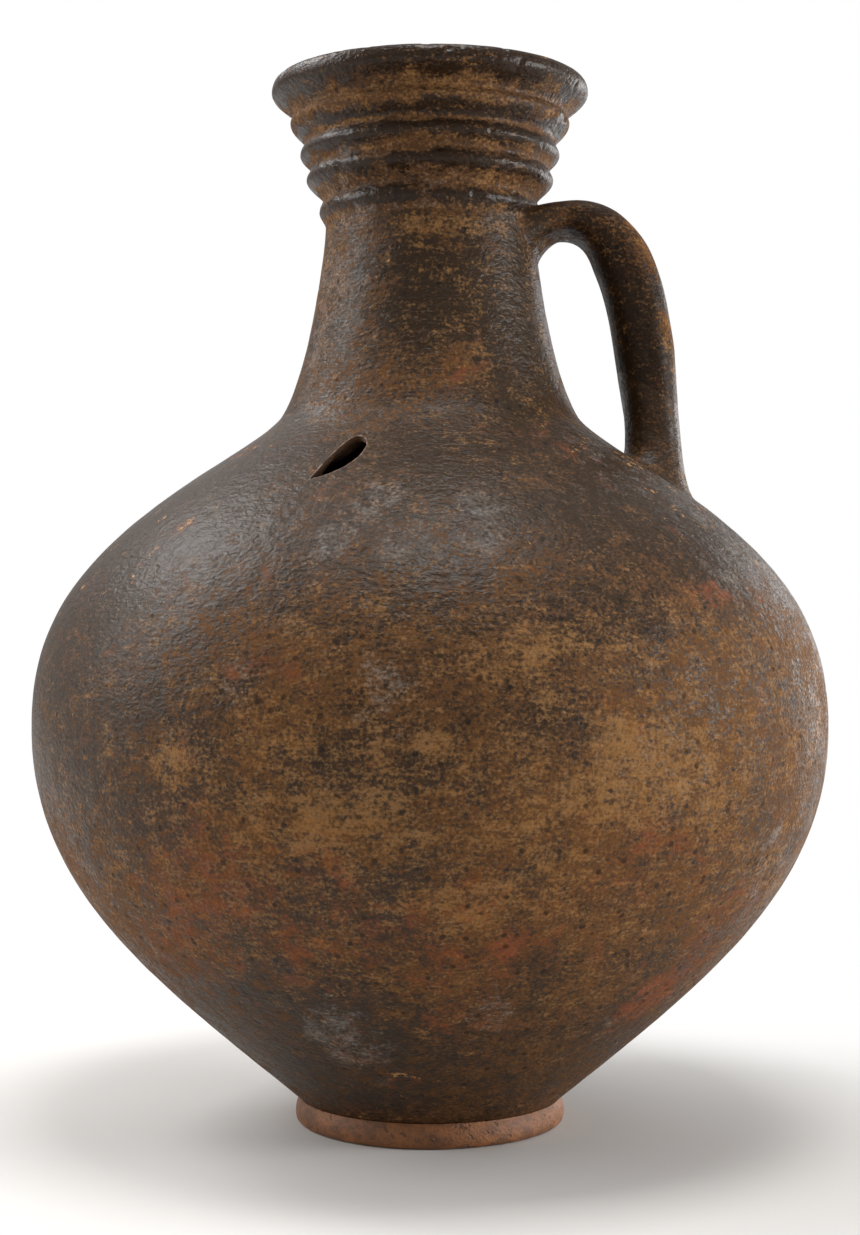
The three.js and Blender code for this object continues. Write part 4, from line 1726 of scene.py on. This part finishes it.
    def roots(self, upper: bool, depth: float) -> np.ndarray:
        """Finds where each side of the strap reaches a depth in the wall.

        Args:
            upper: Whether it is the root on the neck.
            depth: Depth in the wall.

        Returns:
            Shares of the way along the strap, one a side.
        """
        near = np.linspace(*self.root_search, self.root_steps)
        at = near if upper else 1 - near
        rings, _ = self.surface(np.repeat(at[:, None], self.sides + 1, axis=1))
        clear = np.maximum.accumulate(self.clearance(rings), axis=0)
        return np.array([np.interp(-depth, clear[:, side], at) for side in range(self.sides + 1)])

    def uneven(self, rings: np.ndarray, out: np.ndarray) -> np.ndarray:
        """Makes the strap as uneven as pulled clay is."""
        flat = rings.reshape(-1, 3)
        depth = self.potter.unevenness(flat) + self.pulled.depth * self.pulled.heights(flat)
        return (flat - out.reshape(-1, 3) * depth[:, None]).reshape(rings.shape)

    def strap(self) -> bpy.types.Object:
        """Builds the strap, sunk a little in the neck and the shoulder."""
        start, end = self.roots(True, self.sunk), self.roots(False, self.sunk)
        share = np.linspace(0, 1, self.rings)[:, None]
        rings, out = self.surface(start + (end - start) * share)
        piece = Workbench.woven("strap", self.uneven(rings, out), True)
        self.finish(piece, "handle", Slot.BURNISHED, self.potter.finishes.strap)
        return piece

    def luting(self, name: str, node: str, sizes: Luting, upper: bool) -> bpy.types.Object:
        """Builds the clay round one root.

        Args:
            name: Its name.
            node: Its CAD node.
            sizes: Its sizes.
            upper: Whether it is the root on the neck.

        Returns:
            The finished piece.
        """
        line = self.centre(np.linspace(0, 1, self.line_steps))[0]
        length = np.linalg.norm(np.diff(line, axis=0), axis=1).sum()
        rows = [np.linspace(*limits, self.luting_rows) for limits in (self.far_rows, self.near_rows)]
        near = np.concatenate(rows) * sizes.reach / length
        at = self.roots(upper, 0.0) + (near if upper else -near)[:, None]
        turn = np.linspace(0, 2 * math.pi, self.sides + 1)
        face = np.where(np.cos(turn) > 0, sizes.outer, sizes.inner)
        most = face * np.cos(turn) ** 2 + sizes.edge * np.sin(turn) ** 2
        outer, out = self.surface(at)
        spread = np.zeros(at.shape)
        for _ in range(self.settlings):
            nearness = np.clip(1 - self.clearance(outer) / sizes.reach, 0, 1)
            rounded = 1 - (1 - nearness**sizes.fillet) ** (1 / sizes.fillet)
            spread = (spread + most * rounded) / 2
            outer, out = self.surface(at, self.film + spread)
        inner, _ = self.surface(at[::-1], -self.bite)
        rings = np.concatenate([self.uneven(outer, out), inner])
        piece = Workbench.woven(name, np.concatenate([rings, rings[:1]]), False)
        self.finish(piece, node, Slot.WORN, self.potter.finishes.worn)
        return piece

    def outness(self, points: np.ndarray) -> np.ndarray:
        """Gives how far towards the outer face of the arch each point lies, from -1 to 1."""
        at = np.linspace(0, 1, self.face_steps)
        place, along = self.centre(at)
        nearest = np.argmin(np.linalg.norm(points[:, None, ::2] - place[None, :, ::2], axis=2), axis=1)
        offset = points - place[nearest]
        side = -along[nearest, 2] * offset[:, 0] + along[nearest, 0] * offset[:, 2]
        return np.clip(side / self.size_at(at, 1)[nearest], -1, 1)

    def finish(self, piece: bpy.types.Object, node: str, slot: Slot, finish: CoatFinish) -> None:
        """Paints, smooths and dresses a piece of the handle."""
        points = Workbench.points(piece)
        outer_face = soft_step(self.outness(points), *self.worn_face)
        worn = outer_face * soft_step(self.worn_spots.heights(points), *self.worn_limits)
        root = soft_step(self.clearance(points), *self.root_limits)
        landing = root * soft_step(points[:, 2], *self.landing_limits)
        zones = self.potter.wear.paint(points) + np.array(self.coat)
        zones += worn[:, None] * np.array(self.worn) + landing[:, None] * np.array(self.landing)
        dark = self.dark + self.dark_spots.depth * self.dark_spots.heights(points)
        zones[:, Wear.DARK.value] += dark * (1 - root)
        self.potter.paint(piece, zones)
        Workbench.smooth(piece, self.smooth_angle)
        self.potter.dress(piece, node, slot, [finish])

    def build(self) -> list[bpy.types.Object]:
        """Builds the strap and its two lutings.

        Returns:
            The three pieces.
        """
        strap = self.strap()
        upper = self.luting("strap_top_luting", "handle_upper_luting", self.upper, True)
        lower = self.luting("strap_foot_luting", "handle_lower_luting", self.lower, False)
        return [strap, upper, lower]


@dataclass(frozen=True)
class Softbox:
    """A studio lamp that faces the jug."""

    name: str
    place: tuple[float, float, float]
    wide: float
    tall: float
    watts: float


@dataclass
class Studio:
    """Pale floor, white backdrop, camera, lamps and a plain world.

    The slant and the far limits say where the floor turns white behind the jug: how much a step to the right
    counts beside a step to the back, and where the change starts and ends, in metres. The slant brings the
    white nearer on the right, a painted pool of light on the floor that the jug's lower right reflects as
    sheen.
    """

    aim: tuple[float, float, float] = (0, 0, 0.2)
    camera_place: tuple[float, float, float] = (0, -0.7992, 0.1934)
    lens: float = 60.1
    sensor: float = 36.0
    nearest: float = 0.01
    ambient: float = 0.48
    floor_size: float = 12.0
    floor_width: float = 3.6
    backdrop_rise: float = 3.0
    floor_tone: Colour = colour(214, 212, 209)
    floor_roughness: float = 0.9
    # Painted pool of light: brings the floor's white glow nearer on the jug's right
    painted_light_slant: float = 0.6
    far_limits: Point = (0.0, 0.5)
    boxes: tuple[Softbox, ...] = (
        Softbox("left_softbox", (-1.3, -0.05, 0.8), 0.5, 1.0, 11),
        Softbox("top_left_softbox", (-0.95, 0.45, 1.35), 0.6, 0.6, 12),
        Softbox("right_back_softbox", (0.95, 1.0, 0.15), 0.4, 1.2, 9),
        Softbox("overhead_softbox", (0.1, -0.25, 1.9), 0.7, 0.6, 18),
        Softbox("right_softbox", (1.5, -0.25, 0.12), 0.6, 1.2, 32),
    )

    def camera(self) -> None:
        """Sets the camera level, at the photograph's distance."""
        lens = bpy.data.cameras.new("camera")
        lens.lens = self.lens
        lens.sensor_width = self.sensor
        lens.sensor_fit = "AUTO"
        lens.clip_start = self.nearest
        camera = bpy.data.objects.new("camera", lens)
        camera.location = self.camera_place
        camera.rotation_euler = (math.pi / 2, 0, 0)
        bpy.context.collection.objects.link(camera)
        bpy.context.scene.camera = camera

    def lamps(self) -> None:
        """Hangs the softboxes."""
        for box in self.boxes:
            lamp = bpy.data.lights.new(box.name, "AREA")
            lamp.shape = "RECTANGLE"
            lamp.size = box.wide
            lamp.size_y = box.tall
            lamp.energy = box.watts
            holder = bpy.data.objects.new(box.name, lamp)
            holder.location = box.place
            away = holder.location - Vector(self.aim)
            holder.rotation_euler = away.to_track_quat("Z", "Y").to_euler()
            bpy.context.collection.objects.link(holder)

    def world(self) -> None:
        """Makes the world plain pale light."""
        world = bpy.data.worlds.new("studio")
        world.use_nodes = True
        background = world.node_tree.nodes["Background"]
        background.inputs["Color"].default_value = (1, 1, 1, 1)
        background.inputs["Strength"].default_value = self.ambient
        bpy.context.scene.world = world

    def floor(self) -> None:
        """Lays a pale floor that rises at the back into a white backdrop."""
        Workbench.clear()
        bpy.ops.mesh.primitive_plane_add(size=self.floor_size)
        floor = Workbench.named("studio_floor")
        Workbench.edit(floor)
        bpy.ops.transform.resize(value=(self.floor_width / self.floor_size, 1, 1))
        Workbench.edit_edges(floor, lambda point: point[1] > 0)
        bpy.ops.mesh.extrude_region_move(TRANSFORM_OT_translate={"value": (0, 0, self.backdrop_rise)})
        bpy.ops.object.mode_set(mode="OBJECT")
        material, sheet, shader = new_material("studio_floor")
        sheet.feed_all(shader, {"Base Color": self.floor_tone, "Roughness": self.floor_roughness})
        across, back, _ = sheet.split(sheet.place())
        # Painted pool of light: the white glow starts sooner to the right, and the jug's lower right reflects
        # it as sheen
        far = sheet.step(sheet.math("MULTIPLY_ADD", across, self.painted_light_slant, back), *self.far_limits)
        white = sheet.node("ShaderNodeEmission", {"Strength": 1.0})
        share = sheet.math("MULTIPLY", far, sheet.seen())
        blend = sheet.node("ShaderNodeMixShader", {0: share, 1: shader.outputs[0], 2: white.outputs[0]})
        sheet.feed(material.node_tree.nodes["Material Output"].inputs["Surface"], blend.outputs[0])
        floor.data.materials.append(material)

    def build(self) -> None:
        """Sets up the whole studio."""
        self.camera()
        self.lamps()
        self.world()
        self.floor()
        bpy.context.scene.view_settings.view_transform = "Standard"


def main() -> None:
    """Builds the studio and the jug piece by piece."""
    logging.basicConfig(level=logging.INFO, format="%(name)s: %(message)s")
    Studio().build()
    potter = Potter()
    FootRing(potter).build()
    _, dome, _ = ThrownBody(potter).build()
    Break(potter).cut(dome)
    coil = SeamCoil(potter)
    coil.build("belly_coil", "belly_seam_coil", potter.wall.belly_seam)
    coil.build("neck_coil", "neck_seam_coil", potter.wall.neck_seam)
    RibbedCollar(potter).build()
    StrapHandle(potter).build()


if __name__ == "__main__":
    main()
